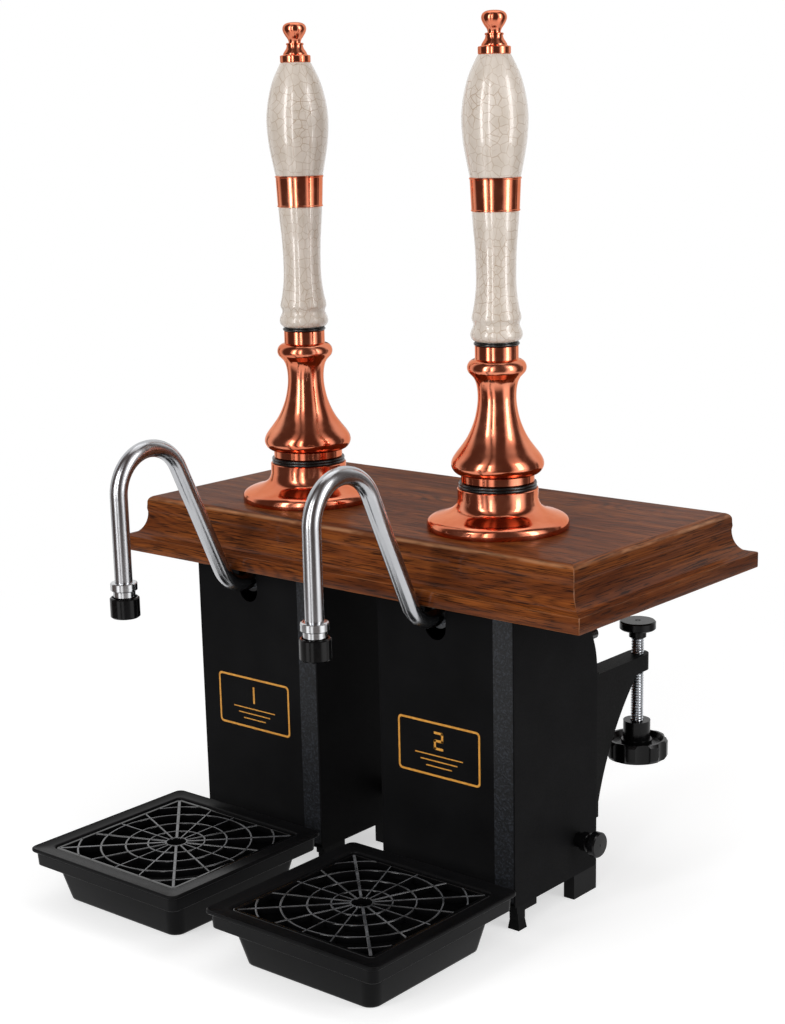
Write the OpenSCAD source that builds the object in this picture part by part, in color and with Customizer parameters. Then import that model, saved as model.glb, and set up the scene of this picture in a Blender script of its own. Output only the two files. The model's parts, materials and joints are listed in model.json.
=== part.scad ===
// Two-pull clamp-on hand pump beer engine.
// Origin: centre of the footprint, on the surface that it stands on.
// +X is the server's right, -Y the spout side, +Z up.

/* [Layout] */
// Distance between the two pumps
pump_spacing = 218; // [200:1:280]
// Distance from the pump axis forward to the casing front
axis_to_front = 76; // [70:1:90]
// Distance that the plinth overhangs the casing front
front_overhang = 21; // [10:1:35]
// Gap between the casing front and the tray
tray_gap = 20; // [5:1:60]

/* [Plinth] */
// Width of the plinth
plinth_w = 520; // [480:1:640]
// Depth of the plinth
plinth_d = 276; // [240:1:340]
// Height of the plinth
plinth_h = 50; // [44:1:70]
// Height of the square lip at the foot of the moulding
lip_h = 14; // [8:1:18]
// Width of the flat ledge on the lip
lip_ledge = 4; // [2:1:8]
// Run of the cove moulding
cove_run = 13; // [8:1:20]
// Rise of the cove moulding
cove_rise = 21; // [12:1:22]
// Radius of the top arris
arris_r = 6; // [2:1:9]

/* [Casing] */
// Width of a casing
casing_w = 145; // [136:1:170]
// Depth of a casing
casing_d = 120; // [118:1:150]
// Height of a casing
casing_h = 255; // [240:1:320]
// Clear height under a casing
leg_h = 22; // [16:1:40]
// Thickness of the casing sheet
sheet_t = 1.5; // [1:0.1:3]
// Radius of the two curves of the joggle in the casing back
joggle_r = 70; // [50:1:80]
// Height of the joggle, under the plinth
joggle_h = 70; // [50:1:72]
// Width of the bevelled strip on the front cover
bevel_w = 20; // [10:1:30]
// Depth of the bevelled strip
bevel_d = 3; // [1:0.5:6]
// Width of the spout slot
slot_w = 22; // [20:1:30]
// Depth of the spout slot below the top of the casing
slot_depth = 34.5; // [28:0.5:45]
// Distance of the spout to the left of the pump axis
spout_offset = 9; // [0:1:20]

/* [Handle] */
// Height of the pivot above the collar of the base
pivot_rise = 34; // [33:0.5:36]
// Forward swing of a handle in degrees
swing = 60; // [40:1:60]
// Height of the collar top above the plinth
collar_h = 34.5; // [32:0.5:40]
// Outer radius of the collar
collar_r = 34.5; // [34:0.5:38]
// Wall of the collar
collar_t = 3; // [2:0.25:3]
// Radius of the base flange
flange_r = 61; // [60:1:66]
// Height of the rubber ring on the collar
ring_h = 5; // [4:0.5:5]
// Outer radius of the rubber ring on the collar
ring_r = 33.4; // [33:0.1:34]
// Length of the copper column from its skirt to its neck
column_h = 115; // [105:1:140]
// Radius of the lower bead of the column
bead_r = 39.3; // [38:0.1:39.5]
// Radius of the waist of the column
waist_r = 16.2; // [14:0.1:20]
// Radius of the upper bead of the column
collar_bead_r = 25; // [22:0.5:28]
// Radius of the neck ferrule
neck_r = 18.3; // [16:0.1:20]
// Height of the rubber ring under the grip
neck_ring_h = 3.5; // [2:0.5:6]
// Length of the lower grip
lower_grip_h = 106; // [90:1:140]
// Length of the copper band between the grips
band_h = 27; // [20:1:40]
// Length of the upper grip
upper_grip_h = 96.5; // [80:0.5:120]
// Largest radius of the upper grip
grip_r = 27.3; // [24:0.1:32]
// Height of the finial
finial_h = 34; // [28:1:45]
// Radius of the steel stem
stem_r = 8; // [6:0.5:9]

/* [Spout] */
// Radius of the spout tube
tube_r = 7.5; // [6:0.1:9]
// Wall of the spout tube
tube_t = 1.2; // [0.8:0.1:1.5]
// Centreline radius of the arch
arch_r = 36; // [30:1:45]
// Centreline radius of the lower bend
bend_r = 30; // [24:1:34]
// Lean of the rising leg from the vertical in degrees
rise_lean = 25; // [18:1:30]
// Height of the arch above the casing top, to the tube's centreline
arch_rise = 123; // [105:1:160]
// Depth of the nozzle mouth below the casing top
mouth_drop = 16; // [0:1:30]
// Radius of the black sparkler
sparkler_r = 12.6; // [11:0.1:15]
// Length of the sparkler
sparkler_h = 17.5; // [14:0.5:25]

/* [Pump] */
// Radius of the crank
crank_r = 23; // [18:0.5:23.5]
// Radius of the cylinder bore
bore_r = 36; // [30:0.5:36]
// Wall of the cylinder
cylinder_t = 3; // [2:0.5:3]
// Length of the cylinder
cylinder_h = 90; // [80:1:100]
// Radius of the piston rod
rod_r = 6; // [5:0.5:7]
// Radius of the inlet tail
inlet_r = 9.5; // [8:0.5:12]

/* [Clamp] */
// Distance from the casing back to the clamp screw
clamp_reach = 79; // [60:1:110]
// Distance of the beam top below the plinth
clamp_drop = 80; // [70:1:90]
// Width of the beam
beam_w = 20; // [18:1:24]
// Height of the beam
beam_h = 15; // [12:1:18]
// Radius of the clamp screw
screw_r = 6; // [5:0.5:7]
// Gap between the plinth and the pad
bar_gap = 50; // [44:1:55]
// Radius of the pad
pad_r = 16.3; // [14:0.1:18]
// Radius of the handwheel
wheel_r = 28.3; // [24:0.1:32]
// Lobes of the handwheel
wheel_lobes = 8; // [5:1:10]

/* [Drip tray] */
// Side of the square tray
tray_w = 183; // [160:1:200]
// Height of the tray
tray_h = 50; // [40:1:60]
// Width of the rim around the grille
rim_w = 15.5; // [12:0.5:20]
// Height of the skirt under the rim
skirt_h = 16; // [10:1:20]
// Wall of the tray
tray_t = 2.5; // [2:0.1:4]
// Width of the thin blades of the grille
blade_w = 2; // [1.5:0.1:3]
// Depth of the grille
grille_h = 6; // [4:0.5:8]

/* [Hidden] */
$fn = 64;

// Fits: a turning or sliding fit, a seat between fixed pieces, a gap to a moving one
run_fit = 0.05;
seat_fit = 0.1;
clear = 0.3;
over = 1; // how far a cut runs past a face

// Colours
wood_c = "#6b3a1c";
copper_c = "#c8693f";
china_c = "#d9cfc3";
steel_c = "#b8bcc0";
bright_c = "#d4d6d8";
black_c = "#1c1c1e";
rubber_c = "#0f0f10";
brass_c = "#b9964f";

// Frame of the whole unit: the footprint runs from the tray front to the plinth back
total_d = plinth_d - front_overhang + tray_gap + tray_w;
plinth_y = total_d / 2 - plinth_d / 2;
casing_front = plinth_y - plinth_d / 2 + front_overhang;
casing_back = casing_front + casing_d;
pump_y = casing_front + axis_to_front;
casing_top = leg_h + casing_h;
plinth_top = casing_top + plinth_h;
collar_top = plinth_top + collar_h;
pivot_z = collar_top + pivot_rise;

// Handle stack, from the ring on the collar upwards
skirt_z = collar_top + ring_h + clear;
neck_top = skirt_z + column_h;
grip_z = neck_top + neck_ring_h;
band_z = grip_z + lower_grip_h;
upper_z = band_z + band_h;
finial_z = upper_z + upper_grip_h;
skirt_r = 31.2;
skirt_h_column = 7;
column_wall = 2.2;
bead_z = skirt_z + 15.6;
mouth_r = 28;
cavity_top = pivot_z + 14;

// Outline of the column's foot, up to the top of its lower bead. All of it lies in a
// ball about the pivot, which the ring on the collar leaves room for.
foot_outline = concat(
    [[skirt_r - 0.8, skirt_z], [skirt_r, skirt_z + 0.8], [skirt_r, skirt_z + skirt_h_column]],
    spline([[skirt_r + 1.6, skirt_z + skirt_h_column + 0.2], [bead_r - 1.2, bead_z - 5],
        [bead_r, bead_z], [bead_r - 1.6, bead_z + 5]], 4));
ball_r = max([for (p = foot_outline) norm(p - [0, pivot_z])]);
hem_z = pivot_z - sqrt(pow(ball_r, 2) - pow(mouth_r, 2));

// Crank and link: the crank swings evenly above and below the horizontal
crank_y = crank_r * cos(swing / 2);
crank_z = -crank_r * sin(swing / 2);
crank_travel = crank_r - crank_y;
crank_pin_r = 4;
pivot_pin_r = 5;
link_t = 7;
link_half = 4.5;
web_t = 4.4;
cheek_t = 4;
web_in = link_t / 2 + clear;
web_out = web_in + web_t;
cheek_in = web_out + clear;
cheek_out = cheek_in + cheek_t;
link_drop = 120;
link_straight = 62;
crosshead_z = pivot_z + crank_z - link_drop;
crosshead_pin_r = 4;
fork_t = 4;
fork_r = 8.5;

// Casing: depth kept clear behind its front for the cover's returns, and the knob's stud
cover_d = 14;
knob_stud_r = 4;
knob_y = casing_back - 29;
knob_z = leg_h + 33;

// Cylinder, hung from a shelf in the casing
shelf_t = 3;
cover_t = 8;
gland_h = 14;
shelf_top = casing_top - joggle_h - 5;
cylinder_top = shelf_top;
cylinder_bottom = cylinder_top - cylinder_h;
cylinder_r = bore_r + cylinder_t;
flange_half = cylinder_r + 1;
tie_r = 3;
tie_at = flange_half - tie_r - 4;
piston_h = 24;
piston_z = cylinder_bottom + 8;
piston_gap = 0.5;
groove_d = 3;
seal_h = 4;
seal_places = [3, piston_h - seal_h - 3.2];
inlet_bore_r = inlet_r - 2;

// Spout path, in a plane of its own
slot_z = casing_top - slot_depth + slot_w / 2;
spout_z = slot_z + 8.5;
bend_turn = 90 - rise_lean;
bend_y = casing_front - 5;
bend_start = [bend_y - bend_r * sin(bend_turn), spout_z + bend_r * (1 - cos(bend_turn))];
arch_z = casing_top + arch_rise - arch_r;
arch_end_z = arch_z + arch_r * sin(rise_lean);
rise_len = (arch_end_z - bend_start[1]) / cos(rise_lean);
arch_end = bend_start + rise_len * [-sin(rise_lean), cos(rise_lean)];
arch_y = arch_end[0] - arch_r * cos(rise_lean);
nozzle_y = arch_y - arch_r;
mouth_z = casing_top - mouth_drop;
collar_z = mouth_z + sparkler_h + clear;
nozzle_collar_h = 12.5;
swan_end = casing_front + cover_d;
bend_step = 0.1;
bend_lap = 1;

// Clamp, on the outer side of each casing
clamp_x = pump_spacing / 2 + casing_w / 2 - beam_w / 2;
clamp_y = casing_back + clamp_reach;
beam_top = casing_top - clamp_drop;
gusset_reach = clamp_reach - 16;
gusset_drop = 114;
gusset_sag = 9.4;
gusset_t = 4;
pad_top = casing_top - bar_gap;
pad_t = 8;
pad_hub_h = 7;
hub_z = beam_top - beam_h - 48;
hub_h = 31;
wheel_h = 19;
wheel_z = hub_z - 36;

// Tray
tray_y = casing_front - tray_gap - tray_w / 2;
well_w = tray_w - 2 * rim_w;
recess = 2;
ring_share = [0.062, 0.166, 0.294, 0.436, 0.567];

// Points of an arc about c
function arc(c, r, from, to, steps) =
    [for (i = [0 : steps]) let (a = from + (to - from) * i / steps) c + r * [cos(a), sin(a)]];

// Points of a smooth curve through p, with steps points on each span
function spline(p, steps) = let (n = len(p) - 1) concat(
    [for (i = [0 : n - 1], k = [0 : steps - 1])
        let (a = p[max(i - 1, 0)], b = p[i], c = p[i + 1], d = p[min(i + 2, n)], t = k / steps)
        0.5 * (2 * b + (c - a) * t + (2 * a - 5 * b + 4 * c - d) * t * t
            + (3 * b - a - 3 * c + d) * t * t * t)],
    [p[n]]);

module at_pump(side) {
    translate([side * pump_spacing / 2, pump_y, 0]) children();
}

module both_pumps() {
    for (side = [-1, 1]) at_pump(side) children();
}

// A tube of outer radius r and inner radius hole, standing on z = 0
module tube(r, hole, h) {
    difference() {
        cylinder(r = r, h = h);
        translate([0, 0, -over]) cylinder(r = hole, h = h + 2 * over);
    }
}

// A pipe with a flat cut at both ends, for stretches that meet end to end
module pipe(r, hole, h) {
    linear_extrude(h) difference() {
        circle(r = r);
        circle(r = hole);
    }
}

// A cylinder along X, centred
module x_cylinder(r, w) {
    rotate([0, 90, 0]) cylinder(r = r, h = w, center = true);
}

// ---- Plinth ----

// Half outline of the moulding for a board of half width w
function moulding(w) = let (
    cove_in = w - lip_ledge - cove_run
) concat(
    [[w, 0], [w, lip_h - 1], [w - 1, lip_h]],
    [for (i = [0 : 10]) let (a = 9 * i)
        [cove_in + cove_run * (1 - sin(a)), lip_h + cove_rise * (1 - cos(a))]],
    arc([cove_in - arris_r, plinth_h - arris_r], arris_r, 0, 90, 5));

module moulding_outline(w) {
    half = moulding(w);
    polygon(concat(half, [for (i = [len(half) - 1 : -1 : 0]) [-half[i][0], half[i][1]]]));
}

module plinth() {
    color(wood_c) difference() {
        translate([0, plinth_y, casing_top]) intersection() {
            rotate([90, 0, 0]) linear_extrude(plinth_d + 2 * over, center = true)
                moulding_outline(plinth_w / 2);
            rotate([90, 0, 90]) linear_extrude(plinth_w + 2 * over, center = true)
                moulding_outline(plinth_d / 2);
        }
        both_pumps() translate([0, 0, casing_top - over])
            cylinder(r = mouth_r + 4, h = plinth_h + 2 * over);
    }
}

// ---- Casing ----

// Side outline of a casing: Y forward is negative, the back has a joggle to clear the bar
module casing_side(inset) {
    joggle_a = asin(joggle_h / 2 / joggle_r);
    back = casing_back - inset;
    low = casing_top - joggle_h - 4;
    lower = arc([back - joggle_r, low], joggle_r, 0, joggle_a, 8);
    mid = lower[8];
    upper = arc(mid + joggle_r * [cos(joggle_a), sin(joggle_a)], joggle_r,
        180 + joggle_a, 180, 8);
    top = inset > 0 ? casing_top + over : casing_top;
    front = inset > 0 ? casing_front - over : casing_front;
    polygon(concat([[front, leg_h + inset], [back, leg_h + inset]], lower,
        [for (i = [1 : 8]) upper[i]], [[upper[8][0], top], [front, top]]));
}

module casing_prism(inset, w) {
    rotate([90, 0, 90]) linear_extrude(w, center = true) casing_side(inset);
}

module casing(side) {
    color(black_c) difference() {
        translate([side * pump_spacing / 2, 0, 0]) {
            difference() {
                casing_prism(0, casing_w);
                casing_prism(sheet_t, casing_w - 2 * sheet_t);
            }
            translate([-casing_w / 2 + sheet_t / 2, casing_front + cover_d, shelf_top - shelf_t])
                cube([casing_w - sheet_t, casing_d - cover_d - sheet_t / 2, shelf_t]);
        }
        at_pump(side) {
            translate([0, 0, leg_h - over]) cylinder(r = inlet_r + 12, h = sheet_t + 2 * over);
            translate([0, 0, shelf_top - shelf_t - over])
                cylinder(r = cylinder_r + seat_fit, h = shelf_t + 2 * over);
            tie_places() translate([0, 0, shelf_top - shelf_t - over])
                cylinder(r = tie_r + seat_fit, h = shelf_t + 2 * over);
        }
        knob_place(side) x_cylinder(knob_stud_r + run_fit, 4 * sheet_t);
    }
}

module front_cover(side) {
    half = casing_w / 2 - sheet_t - seat_fit;
    flat = half - bevel_w;
    t = sheet_t;
    low = leg_h + sheet_t + seat_fit;
    color(black_c) translate([side * pump_spacing / 2, casing_front, low]) difference() {
        linear_extrude(casing_top - low) difference() {
            polygon([[-half, 0], [flat, 0], [half, bevel_d], [half, cover_d - 1],
                [-half, cover_d - 1]]);
            polygon([[-half + t, t], [flat, t], [half - t, bevel_d + t],
                [half - t, cover_d], [-half + t, cover_d]]);
        }
        translate([-spout_offset, t, slot_z - low]) rotate([90, 0, 0]) {
            cylinder(r = slot_w / 2, h = 3 * t, center = true);
            translate([-slot_w / 2, 0, -1.5 * t]) cube([slot_w, casing_h, 3 * t]);
        }
    }
}

// ---- Base of a handle ----

// Rounded rim, shallow cone, fillet and straight collar
module base_flange() {
    rim_r = flange_r;
    outer = concat(
        spline([[rim_r - 0.8, 0], [rim_r, 2.4], [rim_r - 0.1, 5], [rim_r - 1.2, 7.6],
            [rim_r - 3.6, 9.5], [rim_r - 7, 10.9], [collar_r + 14.9, 12.3],
            [collar_r + 10.1, 13.9], [collar_r + 6.1, 15.8], [collar_r + 3.1, 18.2],
            [collar_r + 1.2, 21.2], [collar_r, 25.6]], 3),
        [[collar_r, collar_h - 0.6], [collar_r - 0.6, collar_h]]);
    inner = [[collar_r - collar_t, collar_h], [collar_r - collar_t, 24],
        [collar_r - 1.1, 19], [collar_r + 3.1, 14.4], [collar_r + 9.5, 11.2],
        [rim_r - 7, 7.4], [rim_r - 4, 4.4], [rim_r - 3.4, 0]];
    color(copper_c) translate([0, 0, plinth_top])
        rotate_extrude() polygon(concat(outer, inner));
}

// The ring's hole lets the ball end of the column swing through it
module base_ring() {
    hole = sqrt(ball_r * ball_r - pow(pivot_rise - ring_h, 2)) + 2 * clear;
    color(rubber_c) translate([0, 0, collar_top]) tube(ring_r, hole, ring_h);
}

module pivot_bracket() {
    foot_t = 5;
    foot = [46, 36, foot_t];
    foot_y = 14;
    post_y = 16.4;
    post_d = 5.6;
    post_top = pivot_rise - 8;
    boss_r = 9;
    link_gap = 5;
    color(steel_c) translate([0, 0, plinth_top]) difference() {
        union() {
            translate([-foot[0] / 2, foot_y, 0]) cube(foot);
            for (side = [-1, 1]) translate([side * (cheek_in + cheek_t / 2), 0, 0]) {
                translate([-cheek_t / 2, post_y, 0])
                    cube([cheek_t, post_d, collar_h + pivot_rise - post_top]);
                translate([0, 0, collar_h + pivot_rise]) x_cylinder(boss_r, cheek_t);
                translate([-cheek_t / 2, 0, collar_h + pivot_rise]) rotate([90, 0, 90])
                    linear_extrude(cheek_t) polygon([[-boss_r * 0.6, -boss_r * 0.7],
                        [post_y, -post_top - 1], [post_y + post_d, -post_top - 1],
                        [post_y + post_d, -post_top + 3], [boss_r * 0.7, boss_r * 0.6]]);
            }
        }
        translate([-cheek_in, 0, -over])
            cube([2 * cheek_in, mouth_r + link_gap, foot_t + 2 * over]);
        translate([0, 0, collar_h + pivot_rise]) x_cylinder(pivot_pin_r + seat_fit,
            2 * cheek_out + 2 * over);
    }
}

module pivot_pin() {
    head_t = 2;
    head_lip = 1.5;
    color(bright_c) translate([0, 0, pivot_z]) {
        x_cylinder(pivot_pin_r, 2 * cheek_out);
        for (side = [-1, 1]) translate([side * (cheek_out + head_t / 2), 0, 0])
            x_cylinder(pivot_pin_r + head_lip, head_t);
    }
}

// ---- Handle ----

module column() {
    upper_bead_z = neck_top - 18.5;
    bead_h = 7.2;
    waist_z = bead_z + (upper_bead_z - bead_z) * 0.62;
    outer = concat([[mouth_r, hem_z]], foot_outline,
        spline([[bead_r - 2, bead_z + 5.4], [bead_r - 8.5, bead_z + 14.5],
            [waist_r + 6.8, bead_z + 28], [waist_r, waist_z], [neck_r, upper_bead_z - 12],
            [collar_bead_r - 4, upper_bead_z - bead_h]], 4),
        arc([collar_bead_r - bead_h, upper_bead_z], bead_h, -50, 90, 8),
        [[neck_r, upper_bead_z + bead_h], [neck_r, neck_top]]);
    inner = [[stem_r + seat_fit, neck_top], [stem_r + seat_fit, cavity_top],
        [waist_r + 2, cavity_top], [waist_r + 10, pivot_z + 4],
        [bead_r - column_wall - 2.5, bead_z + 6], [bead_r - column_wall - 1, bead_z],
        [mouth_r + 1, skirt_z + 4], [mouth_r - 1.4, hem_z]];
    color(copper_c) rotate_extrude() polygon(concat(outer, inner));
}

module handle_lever() {
    hub_r = 9;
    eye_r = 7.5;
    web_half = 6;
    boss = 0.2;
    spigot_r = stem_r - 3;
    spigot_h = 10;
    color(steel_c) difference() {
        union() {
            translate([0, 0, pivot_z]) {
                x_cylinder(hub_r, 2 * web_out);
                cylinder(r = stem_r, h = finial_z - pivot_z);
                for (side = [-1, 1]) translate([side * (web_in + web_t / 2), 0, 0]) {
                    translate([0, crank_y, crank_z]) x_cylinder(eye_r, web_t);
                    rotate([-swing / 2, 0, 0]) translate([boss - web_t / 2, 0, -web_half])
                        cube([web_t - 2 * boss, crank_r, 2 * web_half]);
                }
                translate([0, crank_y, crank_z]) x_cylinder(crank_pin_r, 2 * web_out);
            }
            translate([0, 0, finial_z]) cylinder(r = spigot_r, h = spigot_h);
        }
        translate([0, 0, pivot_z]) x_cylinder(pivot_pin_r + run_fit, 2 * web_out + 2 * over);
    }
}

module neck_ring() {
    color(rubber_c) translate([0, 0, neck_top])
        tube(neck_r + 1.1, stem_r + seat_fit, neck_ring_h);
}

// A turned piece between heights from and to, bored for the stem
module turned(points, bore) {
    low = points[0][1];
    high = points[len(points) - 1][1];
    rotate_extrude() polygon(concat([[bore, low]], points, [[bore, high]]));
}

// Outline points given as shares of a width and a height
function shares(points, w, h) = [for (p = points) [p[0] * w, p[1] * h]];

// Two beads at the foot, a long waist, and a flare up to the band
module lower_grip() {
    outline = [
        [0.681, 0], [0.747, 0.013], [0.799, 0.042], [0.791, 0.074], [0.74, 0.106],
        [0.707, 0.13], [0.725, 0.151], [0.758, 0.177], [0.747, 0.208], [0.714, 0.24],
        [0.67, 0.302], [0.63, 0.387], [0.612, 0.491], [0.619, 0.623], [0.641, 0.745],
        [0.685, 0.877], [0.718, 1]];
    color(china_c) translate([0, 0, grip_z])
        turned(spline(shares(outline, grip_r, lower_grip_h), 3), stem_r + clear);
}

module grip_band() {
    low_r = 19.9;
    high_r = 21;
    lip = 0.4;
    edge_h = 1.2;
    color(copper_c) translate([0, 0, band_z]) turned([
        [low_r + lip, 0], [low_r + lip, edge_h], [low_r, edge_h + lip],
        [high_r, band_h - edge_h - lip], [high_r + lip, band_h - edge_h],
        [high_r + lip, band_h]], stem_r + seat_fit);
}

module upper_grip() {
    outline = [
        [0.769, 0], [0.864, 0.14], [0.956, 0.29], [1, 0.466], [0.971, 0.596], [0.89, 0.72],
        [0.758, 0.845], [0.571, 0.955], [0.484, 1]];
    color(china_c) translate([0, 0, upper_z])
        turned(spline(shares(outline, grip_r, upper_grip_h), 4), stem_r + clear);
}

module finial() {
    disc_h = 6;
    neck = 17.5;
    ball = 10.3;
    ball_top = finial_h;
    outline = concat(
        [[13.2, 0], [13.4, 1], [13.4, disc_h - 1], [12.6, disc_h], [10.6, disc_h + 0.6],
            [10.2, disc_h + 3]],
        spline([[9.2, disc_h + 4.5], [6.6, disc_h + 7.5], [6.2, neck - 4]], 3),
        [[7.3, neck - 3], [7.3, neck - 1.2], [5.4, neck - 0.4]],
        spline([[5.2, neck + 1], [8, neck + 4.6], [ball, ball_top - 6.6],
            [9.3, ball_top - 3], [6.2, ball_top - 0.8], [0, ball_top]], 4));
    color(copper_c) translate([0, 0, finial_z]) difference() {
        rotate_extrude() polygon(concat([[0, 0]], outline));
        translate([0, 0, -over]) cylinder(r = stem_r - 3 + seat_fit, h = 10.5 + over);
    }
}

// ---- Link, piston and cylinder ----

// The link hangs from the crank, runs straight down past the base and then forward
module drop_link() {
    foot = [-crank_y, -link_drop];
    slot = crank_travel + run_fit;
    eye_r = crosshead_pin_r + 4.5;
    hole_r = crosshead_pin_r + 0.6;
    color(bright_c) translate([0, crank_y, pivot_z + crank_z]) difference() {
        union() {
            x_cylinder(link_half + 2.5, link_t);
            translate([-link_t / 2, -link_half, -link_straight])
                cube([link_t, 2 * link_half, link_straight]);
            rotate([90, 0, 90]) linear_extrude(link_t, center = true)
                polygon([[-link_half + 1, 8 - link_straight], [link_half - 0.5, 3 - link_straight],
                    foot + [link_half + 1.5, 5], foot + [-link_half - 1.5, -3]]);
            translate([0, foot[0], foot[1]]) {
                x_cylinder(eye_r, link_t);
                translate([0, -slot, 0]) x_cylinder(eye_r, link_t);
                translate([-link_t / 2, -slot, -eye_r]) cube([link_t, slot, 2 * eye_r]);
            }
        }
        x_cylinder(crank_pin_r + run_fit, link_t + 2 * over);
        translate([0, foot[0], foot[1]]) {
            x_cylinder(hole_r, link_t + 2 * over);
            translate([0, -slot, 0]) x_cylinder(hole_r, link_t + 2 * over);
            translate([-link_t, -slot, -hole_r]) cube([2 * link_t, slot, 2 * hole_r]);
        }
    }
}

module piston_rod() {
    fork_in = link_t / 2 + clear;
    fork_out = fork_in + fork_t;
    fork_h = 20;
    bridge_t = 5;
    cheek_h = fork_h - bridge_t + 1;
    rod_top = crosshead_z - fork_h + bridge_t / 2 + 0.5;
    color(bright_c) {
        translate([0, 0, crosshead_z]) {
            for (side = [-1, 1]) translate([side * (fork_in + fork_t / 2), 0, 0]) {
                x_cylinder(fork_r, fork_t);
                translate([-fork_t / 2, -fork_r, -cheek_h])
                    cube([fork_t, 2 * fork_r, cheek_h]);
            }
            x_cylinder(crosshead_pin_r, 2 * fork_out);
            translate([-fork_out, -fork_r, -fork_h])
                cube([2 * fork_out, 2 * fork_r, bridge_t]);
        }
        translate([0, 0, piston_z]) cylinder(r = rod_r, h = rod_top - piston_z);
    }
}

module piston() {
    r = bore_r - piston_gap;
    groove_h = seal_h + 2 * seat_fit;
    port_r = 4;
    color(brass_c) translate([0, 0, piston_z]) difference() {
        cylinder(r = r, h = piston_h);
        for (z = seal_places) translate([0, 0, z]) tube(r + over, r - groove_d, groove_h);
        translate([0, 0, -over]) cylinder(r = rod_r + seat_fit, h = piston_h + 2 * over);
        for (a = [0 : 60 : 300]) rotate([0, 0, a]) translate([bore_r / 2, 0, -over])
            cylinder(r = port_r, h = piston_h + 2 * over);
    }
}

module piston_seals() {
    hole = bore_r - piston_gap - groove_d + seat_fit;
    color(rubber_c) translate([0, 0, piston_z]) for (z = seal_places)
        translate([0, 0, z + seat_fit]) tube(bore_r - run_fit, hole, seal_h);
}

module cylinder_body() {
    color(bright_c) translate([0, 0, cylinder_bottom]) tube(cylinder_r, bore_r, cylinder_h);
}

// Four places of the tie rods about a pump
module tie_places() {
    for (x = [-1, 1], y = [-1, 1]) translate([x * tie_at, y * tie_at, 0]) children();
}

module cover_plate(h) {
    translate([-flange_half, -flange_half, 0]) cube([2 * flange_half, 2 * flange_half, h]);
}

// Top cover with the rod gland and the outlet that feeds the spout
module cylinder_cover() {
    branch = 24;
    riser_y = swan_end - pump_y + branch;
    riser_h = spout_z - cylinder_top;
    outlet_r = tube_r + 1;
    outlet_bore_r = tube_r - tube_t;
    gland_r = rod_r + 6;
    color(brass_c) translate([0, 0, cylinder_top]) difference() {
        union() {
            cover_plate(cover_t);
            cylinder(r = gland_r, h = cover_t + gland_h);
            translate([-spout_offset, riser_y, 0]) {
                cylinder(r = outlet_r, h = riser_h);
                translate([0, 0, riser_h]) sphere(r = outlet_r);
                translate([0, 0, riser_h]) rotate([90, 0, 0])
                    cylinder(r = outlet_r, h = branch - clear);
            }
        }
        translate([0, 0, -over])
            cylinder(r = rod_r + run_fit, h = cover_t + gland_h + 2 * over);
        translate([-spout_offset, riser_y, -over]) {
            cylinder(r = outlet_bore_r, h = riser_h + over);
            translate([0, 0, riser_h + over]) rotate([90, 0, 0])
                cylinder(r = outlet_bore_r, h = branch + over);
        }
        tie_places() translate([0, 0, -over])
            cylinder(r = tie_r + seat_fit, h = cover_t + 2 * over);
    }
}

// Bottom cap with the inlet tail
module cylinder_base() {
    floor_gap = 12;
    tail_h = cylinder_bottom - cover_t - leg_h - floor_gap;
    boss_r = inlet_r + 5;
    boss_h = 18;
    color(brass_c) translate([0, 0, cylinder_bottom - cover_t]) difference() {
        union() {
            cover_plate(cover_t);
            translate([0, 0, -boss_h]) cylinder(r = boss_r, h = boss_h + over);
            translate([0, 0, -tail_h]) cylinder(r = inlet_r, h = tail_h);
        }
        translate([0, 0, -tail_h - over])
            cylinder(r = inlet_bore_r, h = tail_h + cover_t + 2 * over);
        tie_places() translate([0, 0, -over])
            cylinder(r = tie_r + seat_fit, h = cover_t + 2 * over);
    }
}

module inlet_valve() {
    flap_lap = 4;
    flap_t = 3;
    color(rubber_c) translate([0, 0, cylinder_bottom])
        cylinder(r = inlet_bore_r + flap_lap, h = flap_t);
}

// Tie rods with a head at each end hold the caps to the cylinder and the shelf
module tie_rod_set() {
    low = cylinder_bottom - cover_t;
    high = cylinder_top + cover_t;
    nut_r = 5.5;
    nut_h = 5;
    lap = 1;
    color(steel_c) tie_places() {
        translate([0, 0, low - nut_h + lap])
            cylinder(r = tie_r, h = high - low + 2 * (nut_h - lap));
        for (z = [low - nut_h, high]) translate([0, 0, z])
            cylinder(r = nut_r, h = nut_h, $fn = 6);
    }
}

// ---- Spout ----

// A bent stretch of the spout. Its wall is a hair thinner than that of the straight
// stretches, and it runs a little way into them.
module spout_bend(centre, r, from, turn) {
    lap = bend_lap / r * 180 / PI;
    translate([0, centre[0], centre[1]]) rotate([from - lap, 0, 0]) rotate([90, 0, 90])
        rotate_extrude(angle = turn + 2 * lap) translate([r, 0]) difference() {
            circle(r = tube_r - bend_step);
            circle(r = tube_r - tube_t + bend_step);
        }
}

module swan_neck() {
    bore = tube_r - tube_t;
    color(bright_c) translate([-spout_offset, -pump_y, 0]) {
        translate([0, nozzle_y, collar_z]) pipe(tube_r, bore, arch_z - collar_z);
        spout_bend([arch_y, arch_z], arch_r, rise_lean, 180 - rise_lean);
        translate([0, arch_end[0], arch_end[1]]) rotate([180 + rise_lean, 0, 0])
            pipe(tube_r, bore, rise_len);
        spout_bend([bend_y, spout_z + bend_r], bend_r, 180 + rise_lean, bend_turn);
        translate([0, bend_y, spout_z]) rotate([-90, 0, 0])
            pipe(tube_r, bore, swan_end - bend_y);
    }
}

module swan_nut() {
    nut_r = 10.5;
    nut_h = 9;
    color(bright_c) translate([-spout_offset, swan_end - nut_h - pump_y, spout_z])
        rotate([-90, 0, 0]) tube(nut_r, tube_r + run_fit, nut_h);
}

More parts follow.
